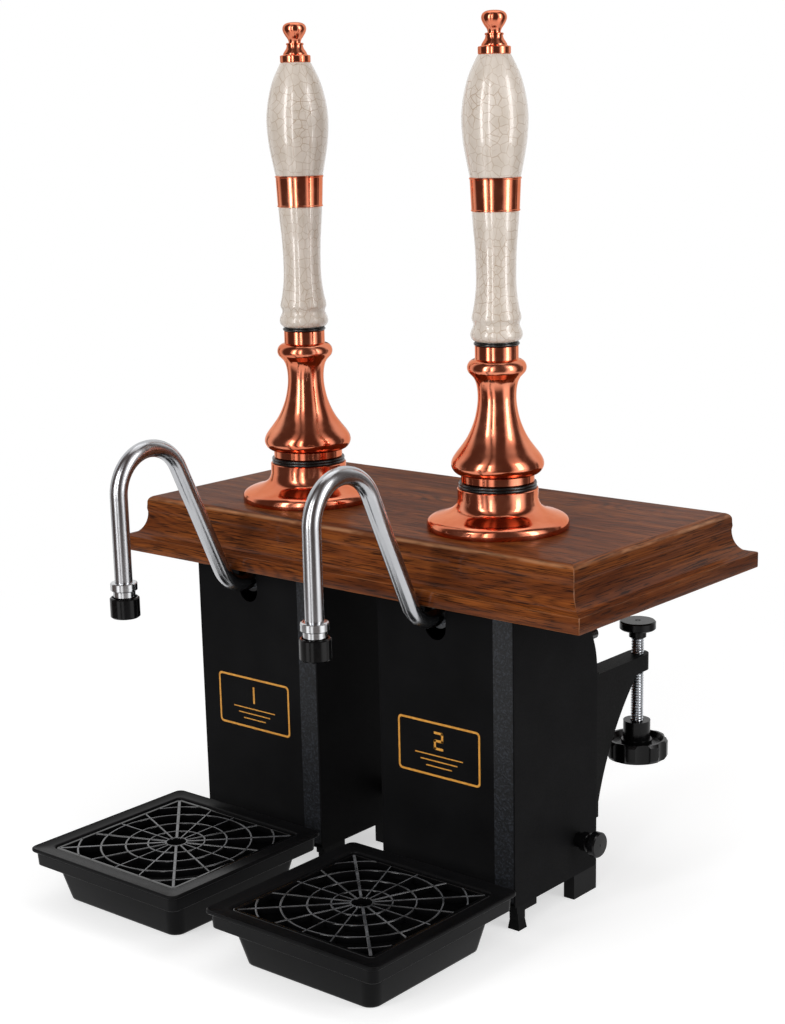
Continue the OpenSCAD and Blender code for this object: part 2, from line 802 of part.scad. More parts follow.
// Polished collar in two ridges that carries the sparkler
module nozzle_collar() {
    ridge_r = 11.4;
    waist = 9.6;
    color(bright_c) translate([-spout_offset, nozzle_y - pump_y, collar_z])
        rotate_extrude() polygon([
            [tube_r + run_fit, 0], [waist, 0], [waist, 3.6], [ridge_r - 0.8, 4.6],
            [ridge_r, 5.4], [ridge_r, 8.4], [ridge_r - 0.9, 9.2], [waist + 0.6, 9.8],
            [waist + 0.6, nozzle_collar_h], [tube_r + run_fit, nozzle_collar_h]]);
}

module sparkler() {
    wall = 2;
    floor_t = 2;
    jet_r = 1.2;
    jet_ring_r = 5.4;
    color(black_c) translate([-spout_offset, nozzle_y - pump_y, mouth_z]) difference() {
        rotate_extrude() polygon([[0, 0], [sparkler_r - 1, 0], [sparkler_r, 1],
            [sparkler_r, sparkler_h - 1], [sparkler_r - 1, sparkler_h], [0, sparkler_h]]);
        translate([0, 0, floor_t]) cylinder(r = sparkler_r - wall, h = sparkler_h);
        for (a = [0 : 60 : 300]) rotate([0, 0, a]) translate([jet_ring_r, 0, -over])
            cylinder(r = jet_r, h = floor_t + 2 * over);
        translate([0, 0, -over]) cylinder(r = jet_r, h = floor_t + 2 * over);
    }
}

// ---- Feet, buffers and side knobs ----

module front_leg_pair() {
    plate = [10, 28, 6];
    post = [10, 11];
    post_y = casing_front + 4.5 + post[1] / 2 - pump_y;
    plate_y = casing_front + 3 - pump_y;
    waist = 1;
    foot_h = 9;
    foot_low_r = 8.2;
    foot_high_r = 6.4;
    color(black_c) for (side = [-1, 1])
        translate([side * (casing_w / 2 - plate[0] / 2 - waist / 2), 0, 0]) {
            translate([-plate[0] / 2, plate_y, leg_h - plate[2]]) cube(plate);
            translate([-(post[0] - waist) / 2, post_y - (post[1] - waist) / 2, foot_h])
                cube([post[0] - waist, post[1] - waist, leg_h - plate[2] - foot_h]);
            translate([0, post_y, 0]) rotate([0, 0, 45])
                cylinder(r1 = foot_low_r, r2 = foot_high_r, h = foot_h, $fn = 4);
        }
}

module rear_foot_pair() {
    block = [11, 34];
    color(black_c) for (side = [-1, 1])
        translate([side * (casing_w / 2 - block[0] / 2) - block[0] / 2,
            casing_back - block[1] - pump_y, 0]) cube([block[0], block[1], leg_h]);
}

module bar_buffer_pair() {
    r = 5;
    long = 17;
    set_in = 8.5;
    lap = 10;
    z = casing_top - 45;
    color(rubber_c) for (side = [-1, 1]) difference() {
        translate([side * (casing_w / 2 - set_in), casing_back - lap - pump_y, z])
            rotate([-90, 0, 0]) cylinder(r = r, h = long);
        translate([0, -pump_y, 0]) casing_prism(0, casing_w + 2 * over);
    }
}

module knob_place(side) {
    translate([side * pump_spacing / 2 + casing_w / 2, knob_y, knob_z]) children();
}

module side_knob(side) {
    color(black_c) knob_place(side) rotate([0, 90, 0]) {
        translate([0, 0, -5]) cylinder(r = knob_stud_r, h = 6);
        translate([0, 0, clear]) rotate_extrude() polygon([
            [0, 0], [6.6, 0], [6.6, 5], [8.3, 6], [8.3, 12], [7.2, 13], [6, 14], [6, 15.6],
            [10.6, 16.4], [11.3, 17.4], [11.3, 22.4], [10.2, 23.6], [0, 23.9]]);
    }
}

// ---- Bar clamp ----

module clamp_place(side) {
    translate([side * clamp_x, clamp_y, 0]) children();
}

module clamp_bracket(side) {
    chord = norm([gusset_reach, gusset_drop]);
    r = (chord * chord / 4 + gusset_sag * gusset_sag) / (2 * gusset_sag);
    lean = atan2(gusset_drop, gusset_reach);
    half_a = asin(chord / 2 / r);
    mid = [gusset_reach, -gusset_drop] / 2;
    centre = mid + (r - gusset_sag) * [sin(lean), -cos(lean)];
    edge = arc(centre, r, 90 + lean - half_a, 90 + lean + half_a, 12);
    plate_h = gusset_drop + beam_h + 4;
    color(black_c) translate([side * clamp_x, casing_back, beam_top]) difference() {
        union() {
            translate([-beam_w / 2, 0, -beam_h]) cube([beam_w, clamp_reach, beam_h]);
            translate([0, clamp_reach, -beam_h]) cylinder(r = beam_w / 2, h = beam_h);
            translate([-beam_w / 2, 0, 2 - plate_h]) cube([beam_w, 3, plate_h]);
            translate([side * (beam_w / 2 - gusset_t / 2), 0, -beam_h]) rotate([90, 0, 90])
                translate([0, 0, -gusset_t / 2]) linear_extrude(gusset_t)
                    polygon(concat([[0, 1], [gusset_reach, 1]], edge));
        }
        translate([0, clamp_reach, -beam_h - over])
            cylinder(r = screw_r + run_fit, h = beam_h + 2 * over);
    }
}

module clamp_screw(side) {
    low = hub_z - hub_h + 4;
    color(bright_c) clamp_place(side) translate([0, 0, low])
        cylinder(r = screw_r, h = pad_top - 3 - low);
}

module clamp_pad(side) {
    color(black_c) clamp_place(side) translate([0, 0, pad_top]) difference() {
        rotate_extrude() polygon([[0, 0], [1.4, 0], [2, -0.7], [2.6, 0], [pad_r - 1.2, 0],
            [pad_r, -1.2], [pad_r, 1 - pad_t], [pad_r - 1, -pad_t], [8.6, -pad_t],
            [7.8, -pad_t - 1], [7.8, -pad_t - pad_hub_h], [0, -pad_t - pad_hub_h]]);
        translate([0, 0, -pad_t - pad_hub_h - over])
            cylinder(r = screw_r + run_fit, h = pad_t + pad_hub_h - 3 + clear + over);
    }
}

module clamp_handwheel(side) {
    hub_r = 12.3;
    lobe_r = wheel_r * 0.42;
    lobe_at = wheel_r + lobe_r * 0.74;
    color(black_c) clamp_place(side) translate([0, 0, wheel_z]) difference() {
        union() {
            rotate_extrude() polygon([[0, 2], [wheel_r - 6, 0], [wheel_r - 1.5, 1.5],
                [wheel_r, 4], [wheel_r, wheel_h - 2.5], [wheel_r - 1.6, wheel_h],
                [wheel_r - 4, wheel_h], [wheel_r - 6.5, wheel_h - 5], [0, wheel_h - 7]]);
            cylinder(r = hub_r + 1.6, h = wheel_h - 1);
            cylinder(r = hub_r, h = hub_z - wheel_z);
        }
        for (i = [0 : wheel_lobes - 1]) rotate([0, 0, 360 * i / wheel_lobes])
            translate([lobe_at, 0, -over]) cylinder(r = lobe_r, h = wheel_h + 2 * over);
        translate([0, 0, 8.9]) cylinder(r = screw_r + run_fit, h = hub_z - wheel_z);
    }
}

// ---- Drip tray ----

// A block of side w at the bottom and top_w at the top, with round corners
module basin(w, top_w, corner, h) {
    hull() for (x = [-1, 1], y = [-1, 1]) {
        translate([x * (w / 2 - corner), y * (w / 2 - corner), 0])
            cylinder(r = corner, h = 0.01, $fn = 32);
        translate([x * (top_w / 2 - corner), y * (top_w / 2 - corner), h])
            cylinder(r = corner, h = 0.01, $fn = 32);
    }
}

module square_post(w, corner, h) {
    linear_extrude(h) difference() {
        square(w, center = true);
        for (x = [-1, 1], y = [-1, 1]) translate([x * w / 2, y * w / 2]) difference() {
            square(2 * corner, center = true);
            translate([-x * corner, -y * corner]) circle(r = corner);
        }
    }
}

module tray_place(side) {
    translate([side * pump_spacing / 2, tray_y, 0]) children();
}

module drip_tray(side) {
    floor_w = tray_w - 43;
    mid_w = tray_w - 28;
    skirt_w = tray_w - 7;
    lip_t = 3;
    color(black_c) tray_place(side) difference() {
        union() {
            basin(floor_w, mid_w, 12, tray_h - skirt_h);
            translate([0, 0, tray_h - skirt_h]) difference() {
                square_post(skirt_w, 7, skirt_h - lip_t);
                translate([0, 0, -over])
                    square_post(skirt_w - 2 * tray_t, 5, skirt_h - lip_t + over);
            }
            translate([0, 0, tray_h - skirt_h - 0.5])
                square_post(mid_w, 12, skirt_h);
            translate([0, 0, tray_h - lip_t]) square_post(tray_w, 6, lip_t);
        }
        translate([0, 0, tray_t]) basin(floor_w - 2 * tray_t, mid_w - 2 * tray_t, 10,
            tray_h - skirt_h);
        translate([0, 0, tray_h - skirt_h - 1])
            square_post(mid_w - 2 * tray_t, 6, skirt_h - recess - grille_h + 1);
        translate([0, 0, tray_h - recess - grille_h]) square_post(well_w, 4, 3 * grille_h);
    }
}

// Web grille: five rings, sixteen spokes and a frame that sits on the ledge of the tray
module tray_grille(side) {
    w = well_w - 2 * clear;
    frame_w = 4;
    color(black_c) tray_place(side) translate([0, 0, tray_h - recess - grille_h + 0.02])
        intersection() {
            square_post(w, 4 - clear, grille_h);
            union() {
                difference() {
                    square_post(w, 4 - clear, grille_h);
                    translate([0, 0, -over]) square_post(w - 2 * frame_w, 4, grille_h + 2 * over);
                }
                for (share = ring_share) tube(share * well_w + blade_w / 2,
                    share * well_w - blade_w / 2, grille_h);
                for (i = [0 : 15]) rotate([0, 0, 22.5 * i])
                    translate([ring_share[0] * well_w, -blade_w * (i % 4 == 2 ? 0.75 : 0.5), 0])
                        cube([well_w, blade_w * (i % 4 == 2 ? 1.5 : 1), grille_h]);
            }
        }
}

// ---- Nodes ----

plinth();
casing(-1);  // casing_left
casing(1);  // casing_right
front_cover(-1);  // front_cover_left
front_cover(1);  // front_cover_right
at_pump(-1) base_flange();  // base_flange_left
at_pump(1) base_flange();  // base_flange_right
at_pump(-1) swan_neck();  // swan_neck_left
at_pump(1) swan_neck();  // swan_neck_right
at_pump(-1) cylinder_body();  // cylinder_left
at_pump(1) cylinder_body();  // cylinder_right
both_pumps() cylinder_cover();  // cylinder_covers
both_pumps() cylinder_base();  // cylinder_bases
both_pumps() inlet_valve();  // inlet_valves
both_pumps() tie_rod_set();  // tie_rods
both_pumps() base_ring();  // base_rings
both_pumps() pivot_bracket();  // pivot_brackets
both_pumps() pivot_pin();  // pivot_pins
both_pumps() swan_nut();  // swan_nuts
both_pumps() nozzle_collar();  // nozzle_collars
both_pumps() front_leg_pair();  // front_legs
both_pumps() rear_foot_pair();  // rear_feet
both_pumps() bar_buffer_pair();  // bar_buffers
for (side = [-1, 1]) clamp_bracket(side);  // clamp_brackets
at_pump(-1) finial();  // finial_left
at_pump(1) finial();  // finial_right
at_pump(-1) upper_grip();  // upper_grip_left
at_pump(1) upper_grip();  // upper_grip_right
at_pump(-1) grip_band();  // grip_band_left
at_pump(1) grip_band();  // grip_band_right
at_pump(-1) lower_grip();  // lower_grip_left
at_pump(1) lower_grip();  // lower_grip_right
at_pump(-1) neck_ring();  // neck_ring_left
at_pump(1) neck_ring();  // neck_ring_right
at_pump(-1) column();  // column_left
at_pump(1) column();  // column_right
at_pump(-1) handle_lever();  // handle_lever_left
at_pump(1) handle_lever();  // handle_lever_right
at_pump(-1) drop_link();  // drop_link_left
at_pump(1) drop_link();  // drop_link_right
at_pump(-1) piston_rod();  // piston_rod_left
at_pump(1) piston_rod();  // piston_rod_right
at_pump(-1) piston();  // piston_left
at_pump(1) piston();  // piston_right
at_pump(-1) piston_seals();  // piston_seals_left
at_pump(1) piston_seals();  // piston_seals_right
at_pump(-1) sparkler();  // sparkler_left
at_pump(1) sparkler();  // sparkler_right
drip_tray(-1);  // drip_tray_left
drip_tray(1);  // drip_tray_right
tray_grille(-1);  // tray_grille_left
tray_grille(1);  // tray_grille_right
clamp_screw(-1);  // clamp_screw_left
clamp_screw(1);  // clamp_screw_right
clamp_handwheel(-1);  // clamp_handwheel_left
clamp_handwheel(1);  // clamp_handwheel_right
clamp_pad(-1);  // clamp_pad_left
clamp_pad(1);  // clamp_pad_right
side_knob(-1);  // side_knob_left
side_knob(1);  // side_knob_right
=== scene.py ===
"""A two-pull, clamp-on beer engine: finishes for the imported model, and finer pieces for its plain ones."""
import functools
import json
import math

import bmesh
import bpy
from mathutils import Matrix, Vector


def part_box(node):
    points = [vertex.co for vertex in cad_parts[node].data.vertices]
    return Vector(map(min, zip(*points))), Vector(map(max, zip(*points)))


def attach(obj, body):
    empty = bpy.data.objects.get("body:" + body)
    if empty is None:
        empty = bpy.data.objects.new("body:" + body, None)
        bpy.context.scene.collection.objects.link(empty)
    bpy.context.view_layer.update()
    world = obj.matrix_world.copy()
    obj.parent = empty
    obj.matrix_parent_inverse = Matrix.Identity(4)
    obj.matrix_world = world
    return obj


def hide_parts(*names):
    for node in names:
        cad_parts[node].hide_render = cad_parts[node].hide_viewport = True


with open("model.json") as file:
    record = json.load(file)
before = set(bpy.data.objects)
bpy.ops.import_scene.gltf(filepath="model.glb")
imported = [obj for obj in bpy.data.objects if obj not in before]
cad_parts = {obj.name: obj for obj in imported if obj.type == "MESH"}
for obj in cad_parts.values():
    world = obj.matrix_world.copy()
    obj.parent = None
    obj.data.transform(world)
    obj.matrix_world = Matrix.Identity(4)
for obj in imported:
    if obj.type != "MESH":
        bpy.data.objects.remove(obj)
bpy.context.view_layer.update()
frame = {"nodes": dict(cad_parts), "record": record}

MM = 0.001
SIDES = ("left", "right")

# ---- Camera ----

# Lens and optical centre, in pixels of an image 1024 high
IMAGE_LONG_SIDE = 1024
SENSOR = 36.0
FOCAL_PX = 1874.0
PRINCIPAL = (415.5, 586.2)
IMAGE_CENTRE = (392.5, 512.0)
CAMERA_PLACE = Vector((1.0525, -1.1958, 0.6704))
CAMERA_TARGET = Vector((-0.0115, 0.0832, 0.2501))
CAMERA_ROLL = -1.1


def make_camera():
    data = bpy.data.cameras.new("camera")
    data.sensor_width = SENSOR
    data.lens = FOCAL_PX * SENSOR / IMAGE_LONG_SIDE
    data.shift_x = (IMAGE_CENTRE[0] - PRINCIPAL[0]) / IMAGE_LONG_SIDE
    data.shift_y = (PRINCIPAL[1] - IMAGE_CENTRE[1]) / IMAGE_LONG_SIDE
    camera = bpy.data.objects.new("camera", data)
    look = (CAMERA_TARGET - CAMERA_PLACE).to_track_quat("-Z", "Y").to_matrix().to_4x4()
    roll = Matrix.Rotation(math.radians(CAMERA_ROLL), 4, "Z")
    camera.matrix_world = Matrix.Translation(CAMERA_PLACE) @ look @ roll
    bpy.context.scene.collection.objects.link(camera)
    bpy.context.scene.camera = camera


make_camera()
bpy.context.scene.view_settings.view_transform = "Standard"

# ---- Small tools ----


def linear(hex_colour):
    """An sRGB hex colour as linear RGBA."""
    parts = [int(hex_colour[i:i + 2], 16) / 255 for i in (1, 3, 5)]
    return tuple(c / 12.92 if c <= 0.04045 else ((c + 0.055) / 1.055) ** 2.4 for c in parts) + (1.0,)


def add(tree, kind, inputs=None, output=0, stops=(), **settings):
    """Adds a node with its settings and links, and returns one of its outputs.

    inputs maps a socket's name or number to a value or to another node's output. By number, a Map Range
    takes its value at 0, its From limits at 1 and 2 and its To limits at 3 and 4, and a Mix its factor at 0,
    its vectors at 4 and 5 and its colours at 6 and 7. stops are a colour ramp's (position, hex colour)
    pairs. A node with no output is returned itself.
    """
    node = tree.nodes.new(kind)
    for name, value in settings.items():
        setattr(node, name, value)
    for key, value in (inputs or {}).items():
        if isinstance(value, bpy.types.NodeSocket):
            tree.links.new(value, node.inputs[key])
        else:
            node.inputs[key].default_value = value
    for place, (position, colour) in enumerate(stops):
        elements = node.color_ramp.elements
        element = elements[place] if place < 2 else elements.new(position)
        element.position, element.color = position, linear(colour)
    return node.outputs[output] if node.outputs else node


def finished(name, pattern):
    """A material. pattern adds its nodes with the function it is given, and returns the shader's inputs."""
    material = bpy.data.materials.new(name)
    material.use_nodes = True
    tree = material.node_tree
    tree.nodes.clear()
    shader = add(tree, "ShaderNodeBsdfPrincipled", pattern(functools.partial(add, tree)))
    add(tree, "ShaderNodeOutputMaterial", {"Surface": shader})
    return material


def axis_of(node):
    """The middle of a CAD node, seen from above."""
    low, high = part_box(node)
    return ((low.x + high.x) / 2, (low.y + high.y) / 2)


# ---- Materials ----

# Mean radius of the china grips, on which their net of cracks is laid out
GRIP_RADIUS = 21
# Half the width of a grille, to the middle of its frame, and the width of that frame's blade
FRAME_HALF = 73.7
FRAME_BLADE = 4

# The board's box, and the width of the strips that its mitred ends are made of
BOARD_LOW, BOARD_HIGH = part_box("plinth")
BOARD_CENTRE = (BOARD_LOW + BOARD_HIGH) / 2
BOARD_HALF = (BOARD_HIGH - BOARD_LOW) / 2
MITRE_STRIP = 24
# Heights between which the moulding's hollow runs, clear of the painted edge highlights, and the blur of
# those limits
COVE = (BOARD_LOW.z + 0.0146, BOARD_LOW.z + 0.0415)
COVE_BLUR = 0.0005
# Growth lines in one unit of the field that they are drawn on
GROWTH_LINES = 34


def along_grain(node):
    """Coordinates with X along the grain: along the board, but across it in the two end strips."""
    coords = node("ShaderNodeTexCoord", output="Object")
    split = {axis: node("ShaderNodeSeparateXYZ", {0: coords}, output=axis) for axis in "XYZ"}
    from_end = node("ShaderNodeMath", {0: BOARD_HALF.x, 1: node(
        "ShaderNodeMath", {0: split["X"]}, operation="ABSOLUTE")}, operation="SUBTRACT")
    off_centre = node("ShaderNodeMath", {0: split["Y"], 1: BOARD_CENTRE.y}, operation="SUBTRACT")
    from_side = node("ShaderNodeMath", {0: BOARD_HALF.y, 1: node(
        "ShaderNodeMath", {0: off_centre}, operation="ABSOLUTE")}, operation="SUBTRACT")
    in_strip = node("ShaderNodeMath", {0: from_end, 1: MITRE_STRIP * MM}, operation="LESS_THAN")
    past_mitre = node("ShaderNodeMath", {0: from_end, 1: from_side}, operation="LESS_THAN")
    at_end = node("ShaderNodeMath", {0: in_strip, 1: past_mitre}, operation="MULTIPLY")
    turned = node("ShaderNodeCombineXYZ", {0: split["Y"], 1: split["X"], 2: split["Z"]})
    return node("ShaderNodeMix", {0: at_end, 4: coords, 5: turned}, output=1, data_type="VECTOR")


def wood_streaks(node, grain, length_mm, width_mm, detail, seed):
    """Noise stretched along the grain."""
    stretched = node("ShaderNodeMapping", {
        "Vector": grain, "Scale": (width_mm / length_mm, 1, 1), "Location": (seed, seed, seed)})
    return node("ShaderNodeTexNoise", {
        "Vector": stretched, "Scale": 1000 / width_mm, "Detail": detail, "Roughness": 0.55})


def rubbed_edges(node, grain, facing):
    """How much painted highlight the board's arrises and corners get, in patches: a lighter colour that
    stands for the shine on its edges.
    """
    height = node("ShaderNodeSeparateXYZ", {0: grain}, output="Z")
    below = node("ShaderNodeMapRange", {0: height, 1: COVE[0] - COVE_BLUR, 2: COVE[0], 3: 1.0, 4: 0.0})
    above = node("ShaderNodeMapRange", {0: height, 1: COVE[1], 2: COVE[1] + COVE_BLUR})
    off_cove = node("ShaderNodeMath", {0: below, 1: above}, operation="MAXIMUM")
    off_side = node("ShaderNodeMapRange", {0: facing["Z"], 1: 0.3, 2: 0.55})
    off_top = node("ShaderNodeMapRange", {0: facing["Z"], 1: 0.7, 2: 0.9, 3: 1.0, 4: 0.0})
    slope = node("ShaderNodeMath", {0: off_side, 1: off_top}, operation="MULTIPLY")
    arris = node("ShaderNodeMath", {0: slope, 1: off_cove}, operation="MULTIPLY")
    both_ways = node("ShaderNodeMath", {0: facing["X"], 1: facing["Y"]}, operation="MINIMUM")
    corner = node("ShaderNodeMapRange", {0: both_ways, 1: 0.25, 2: 0.5})
    edge = node("ShaderNodeMath", {0: arris, 1: corner}, operation="MAXIMUM")
    patches = node("ShaderNodeMapRange", {
        0: wood_streaks(node, grain, 30, 8, 2, 2.4), 1: 0.4, 2: 0.6, 3: 0.1, 4: 0.55})
    return node("ShaderNodeMath", {0: edge, 1: patches}, operation="MULTIPLY")


def oiled_hardwood(node):
    """Stained and oiled open-pored hardwood.

    It reads as an even brown board with growth lines that run along it and close in arches, fine dark
    pores that crowd along those lines, painted shade that darkens the faces turned towards its ends,
    painted highlights that lighten its edges in patches, and a thin gloss of oil. Pores are 0.3 mm wide
    on the real wood, and are drawn 1 mm wide so that they show.
    """
    grain = along_grain(node)
    normal = node("ShaderNodeTexCoord", output="Normal")
    facing = {axis: node("ShaderNodeMath", {
        0: node("ShaderNodeSeparateXYZ", {0: normal}, output=axis)}, operation="ABSOLUTE") for axis in "XYZ"}

    # Growth lines are level lines of a long, smooth field, made ragged by the fine fibres
    fibres = wood_streaks(node, grain, 46, 1.1, 3, 0.5)
    ragged = node("ShaderNodeMath", {
        0: fibres, 1: 0.02, 2: wood_streaks(node, grain, 420, 46, 1, 0.2)}, operation="MULTIPLY_ADD")
    rings = node("ShaderNodeMath", {0: ragged, 1: GROWTH_LINES}, operation="MULTIPLY")
    off_line = node("ShaderNodeMath", {0: rings, 1: 0.5}, operation="PINGPONG")
    growth = node("ShaderNodeMapRange", {0: off_line, 1: 0.02, 2: 0.34, 3: 1.0, 4: 0.0})
    crowded = node("ShaderNodeMath", {
        0: growth, 1: 0.05, 2: wood_streaks(node, grain, 28, 1.0, 2, 0.9)}, operation="MULTIPLY_ADD")
    pores = node("ShaderNodeMapRange", {0: crowded, 1: 0.575, 2: 0.62})

    # The stain, from the broad figure down to the pores
    figure = node("ShaderNodeMapRange", {0: wood_streaks(node, grain, 150, 14, 3, 1.7), 1: 0.3, 2: 0.7})
    colour = node("ShaderNodeValToRGB", {0: figure}, stops=(
        (0.1, "#5E2C0E"), (0.45, "#743A15"), (0.8, "#8C4B1D")))
    rubbed = rubbed_edges(node, grain, facing)
    for value, low, high, most, stain in (
            (growth, 0.0, 1.0, 0.45, "#3A1D0E"), (fibres, 0.4, 0.68, 0.5, "#4C2410"),
            # After the pores, painted shade: faces turned towards the board's ends are darkened towards
            # brown-black
            (pores, 0.0, 1.0, 0.75, "#190C06"), (facing["X"], 0.4, 0.8, 0.35, "#2A140A"),
            # Painted highlight: the arrises and corners are lightened in patches towards this pale brown
            (rubbed, 0.0, 1.0, 1.0, "#C08A62")):
        amount = node("ShaderNodeMapRange", {0: value, 1: low, 2: high, 3: 0.0, 4: most})
        colour = node("ShaderNodeMix", {0: amount, 6: colour, 7: linear(stain)}, output=2, data_type="RGBA")

    relief = node("ShaderNodeMath", {0: fibres, 1: pores}, operation="SUBTRACT")
    return {"Base Color": colour,
            "Roughness": node("ShaderNodeMapRange", {0: fibres, 1: 0.3, 2: 0.7, 3: 0.45, 4: 0.6}),
            "Normal": node("ShaderNodeBump", {"Height": relief, "Distance": 0.08 * MM, "Strength": 0.4}),
            "Specular IOR Level": 0.05, "Coat Roughness": 0.12,
            "Coat Weight": node("ShaderNodeMapRange", {0: facing["Z"], 1: 0.75, 2: 0.99, 3: 0.2, 4: 0.08})}


def polished_copper(node):
    """Spun copper, buffed bright and lacquered: mirror-like and orange, with faint level turning lines.

    Tarnish in patches 30 mm across shifts its colour, and smudges 8 mm across dull it here and there.
    """
    coords = node("ShaderNodeTexCoord", output="Object")
    tarnish = node("ShaderNodeTexNoise", {"Vector": coords, "Scale": 1000 / 30, "Detail": 4.0})
    smudge = node("ShaderNodeTexNoise", {"Vector": coords, "Scale": 1000 / 8, "Detail": 3.0})
    wear = node("ShaderNodeMath", {0: tarnish, 1: smudge}, operation="MULTIPLY")
    level = node("ShaderNodeMapping", {"Vector": coords, "Scale": (0.02, 0.02, 1)})
    lines = node("ShaderNodeTexNoise", {"Vector": level, "Scale": 1000 / 0.9, "Detail": 2.0})
    return {"Base Color": node("ShaderNodeValToRGB", {0: tarnish}, stops=(
                (0.3, "#CC6C4C"), (0.55, "#DA8263"), (0.75, "#E39273"))),
            "Metallic": 1.0, "Specular Tint": linear("#F6CDB6"), "Coat Weight": 0.15, "Coat Roughness": 0.04,
            "Roughness": node("ShaderNodeMapRange", {0: wear, 1: 0.15, 2: 0.4, 3: 0.1, 4: 0.2}),
            "Normal": node("ShaderNodeBump", {"Height": lines, "Distance": 0.005 * MM, "Strength": 0.15})}


def unrolled_grip(node, coords):
    """A grip's surface laid flat: X runs round it, Y tells the two handles apart, and Z is its height."""
    split = {axis: node("ShaderNodeSeparateXYZ", {0: coords}, output=axis) for axis in "XYZ"}
    axis_x, axis_y = axis_of("column_right")
    out_x = node("ShaderNodeMath", {0: split["X"]}, operation="ABSOLUTE")
    off_x = node("ShaderNodeMath", {0: out_x, 1: axis_x}, operation="SUBTRACT")
    off_y = node("ShaderNodeMath", {0: axis_y, 1: split["Y"]}, operation="SUBTRACT")
    turn = node("ShaderNodeMath", {0: off_x, 1: off_y}, operation="ARCTAN2")
    round_it = node("ShaderNodeMath", {0: turn, 1: GRIP_RADIUS * MM}, operation="MULTIPLY")
    which = node("ShaderNodeMath", {0: split["X"]}, operation="SIGN")
    return node("ShaderNodeCombineXYZ", {0: round_it, 1: which, 2: split["Z"]})


def crackle_china(node):
    """Crazed porcelain: a warm cream body under clear glaze, with a net of fine brown cracks.

    The net has cells 6 mm across, and a fainter net of 4.2 mm cells crosses it in patches. Cracks are
    0.1 mm wide on the real glaze, and are drawn 0.4 to 0.5 mm wide so that they show.
    """
    coords = node("ShaderNodeTexCoord", output="Object")
    sway = node("ShaderNodeTexNoise", {"Vector": coords, "Scale": 1000 / 12, "Detail": 2.0}, output="Color")
    centred = node("ShaderNodeVectorMath", {0: sway, 1: (0.5, 0.5, 0.5)}, operation="SUBTRACT")
    offset = node("ShaderNodeVectorMath", {0: centred, 1: (0.005, 0, 0.005)}, operation="MULTIPLY")
    swayed = node("ShaderNodeVectorMath", {0: unrolled_grip(node, coords), 1: offset})

    def cracks(cell_mm, half_width_mm, seed):
        flat = node("ShaderNodeMapping", {
            "Vector": swayed, "Rotation": (math.radians(-90), 0, 0), "Scale": (1, 1, 0.8),
            "Location": (seed, seed, 0)})
        cells = node("ShaderNodeTexVoronoi", {"Vector": flat, "Scale": 1000 / cell_mm, "Randomness": 0.85},
                     feature="DISTANCE_TO_EDGE", voronoi_dimensions="2D")
        width = half_width_mm / cell_mm
        return node("ShaderNodeMapRange", {0: cells, 1: 0.2 * width, 2: 1.4 * width, 3: 1.0, 4: 0.0})

    patch = node("ShaderNodeTexNoise", {"Vector": coords, "Scale": 1000 / 24, "Detail": 2.0})
    strength = node("ShaderNodeMapRange", {0: patch, 1: 0.36, 2: 0.64, 3: 0.4, 4: 0.95})
    faint = node("ShaderNodeMapRange", {0: patch, 1: 0.46, 2: 0.66, 3: 0.0, 4: 0.5})
    wide = node("ShaderNodeMath", {0: cracks(6.0, 0.24, 0.0), 1: strength}, operation="MULTIPLY")
    narrow = node("ShaderNodeMath", {0: cracks(4.2, 0.2, 0.31), 1: faint}, operation="MULTIPLY")
    net = node("ShaderNodeMath", {0: wide, 1: narrow}, operation="MAXIMUM")
    cloud = node("ShaderNodeTexNoise", {"Vector": coords, "Scale": 1000 / 16, "Detail": 4.0})
    body = node("ShaderNodeValToRGB", {0: cloud}, stops=((0.32, "#D0C3B5"), (0.68, "#DED2C6")))
    return {"Base Color": node("ShaderNodeMix", {0: net, 6: body, 7: linear("#A98C6F")},
                               output=2, data_type="RGBA"),
            "Roughness": 0.4, "Coat Weight": 1.0, "Coat Roughness": 0.06,
            "Coat Normal": node("ShaderNodeBump", {
                "Height": net, "Distance": 0.03 * MM, "Strength": 0.3, "Filter Width": 0.1}, invert=True)}


def black_finish(low, high, grain_mm, depth_mm, roughness, gloss, strength=0.5):
    """A black coating or moulding: its black is a little uneven, and a fine grain breaks up its sheen."""
    def pattern(node):
        coords = node("ShaderNodeTexCoord", output="Object")
        cloud = node("ShaderNodeTexNoise", {"Vector": coords, "Scale": 1000 / 60, "Detail": 4.0})
        grain = node("ShaderNodeTexNoise", {
            "Vector": coords, "Scale": 1000 / grain_mm, "Detail": 3.0, "Roughness": 0.6})
        return {"Base Color": node("ShaderNodeValToRGB", {0: cloud}, stops=((0.3, low), (0.7, high))),
                "Roughness": node("ShaderNodeMapRange", {
                    0: grain, 1: 0.35, 2: 0.65, 3: roughness - 0.05, 4: roughness + 0.07}),
                "Normal": node("ShaderNodeBump", {
                    "Height": grain, "Distance": depth_mm * MM, "Strength": strength}),
                "Specular IOR Level": gloss}
    return pattern


def drawn_steel(colour, roughness, streak_mm, along=(1, 1, 0.06)):
    """Bright steel, whose sheen varies in fine lines from drawing, turning or plating.

    The lines run up it, or round it where along says so.
    """
    def pattern(node):
        coords = node("ShaderNodeTexCoord", output="Object")
        drawn = node("ShaderNodeMapping", {"Vector": coords, "Scale": along})
        streaks = node("ShaderNodeTexNoise", {"Vector": drawn, "Scale": 1000 / streak_mm, "Detail": 2.0})
        cloud = node("ShaderNodeTexNoise", {"Vector": coords, "Scale": 1000 / 30, "Detail": 3.0})
        dulled = node("ShaderNodeMapRange", {0: cloud, 1: 0.3, 2: 0.7, 3: 0.0, 4: 0.3})
        return {"Base Color": node("ShaderNodeMix", {0: dulled, 6: linear(colour), 7: linear("#94979A")},
                                   output=2, data_type="RGBA"),
                "Metallic": 1.0,
                "Roughness": node("ShaderNodeMapRange", {
                    0: streaks, 1: 0.3, 2: 0.7, 3: roughness - 0.02, 4: roughness + 0.03})}
    return pattern


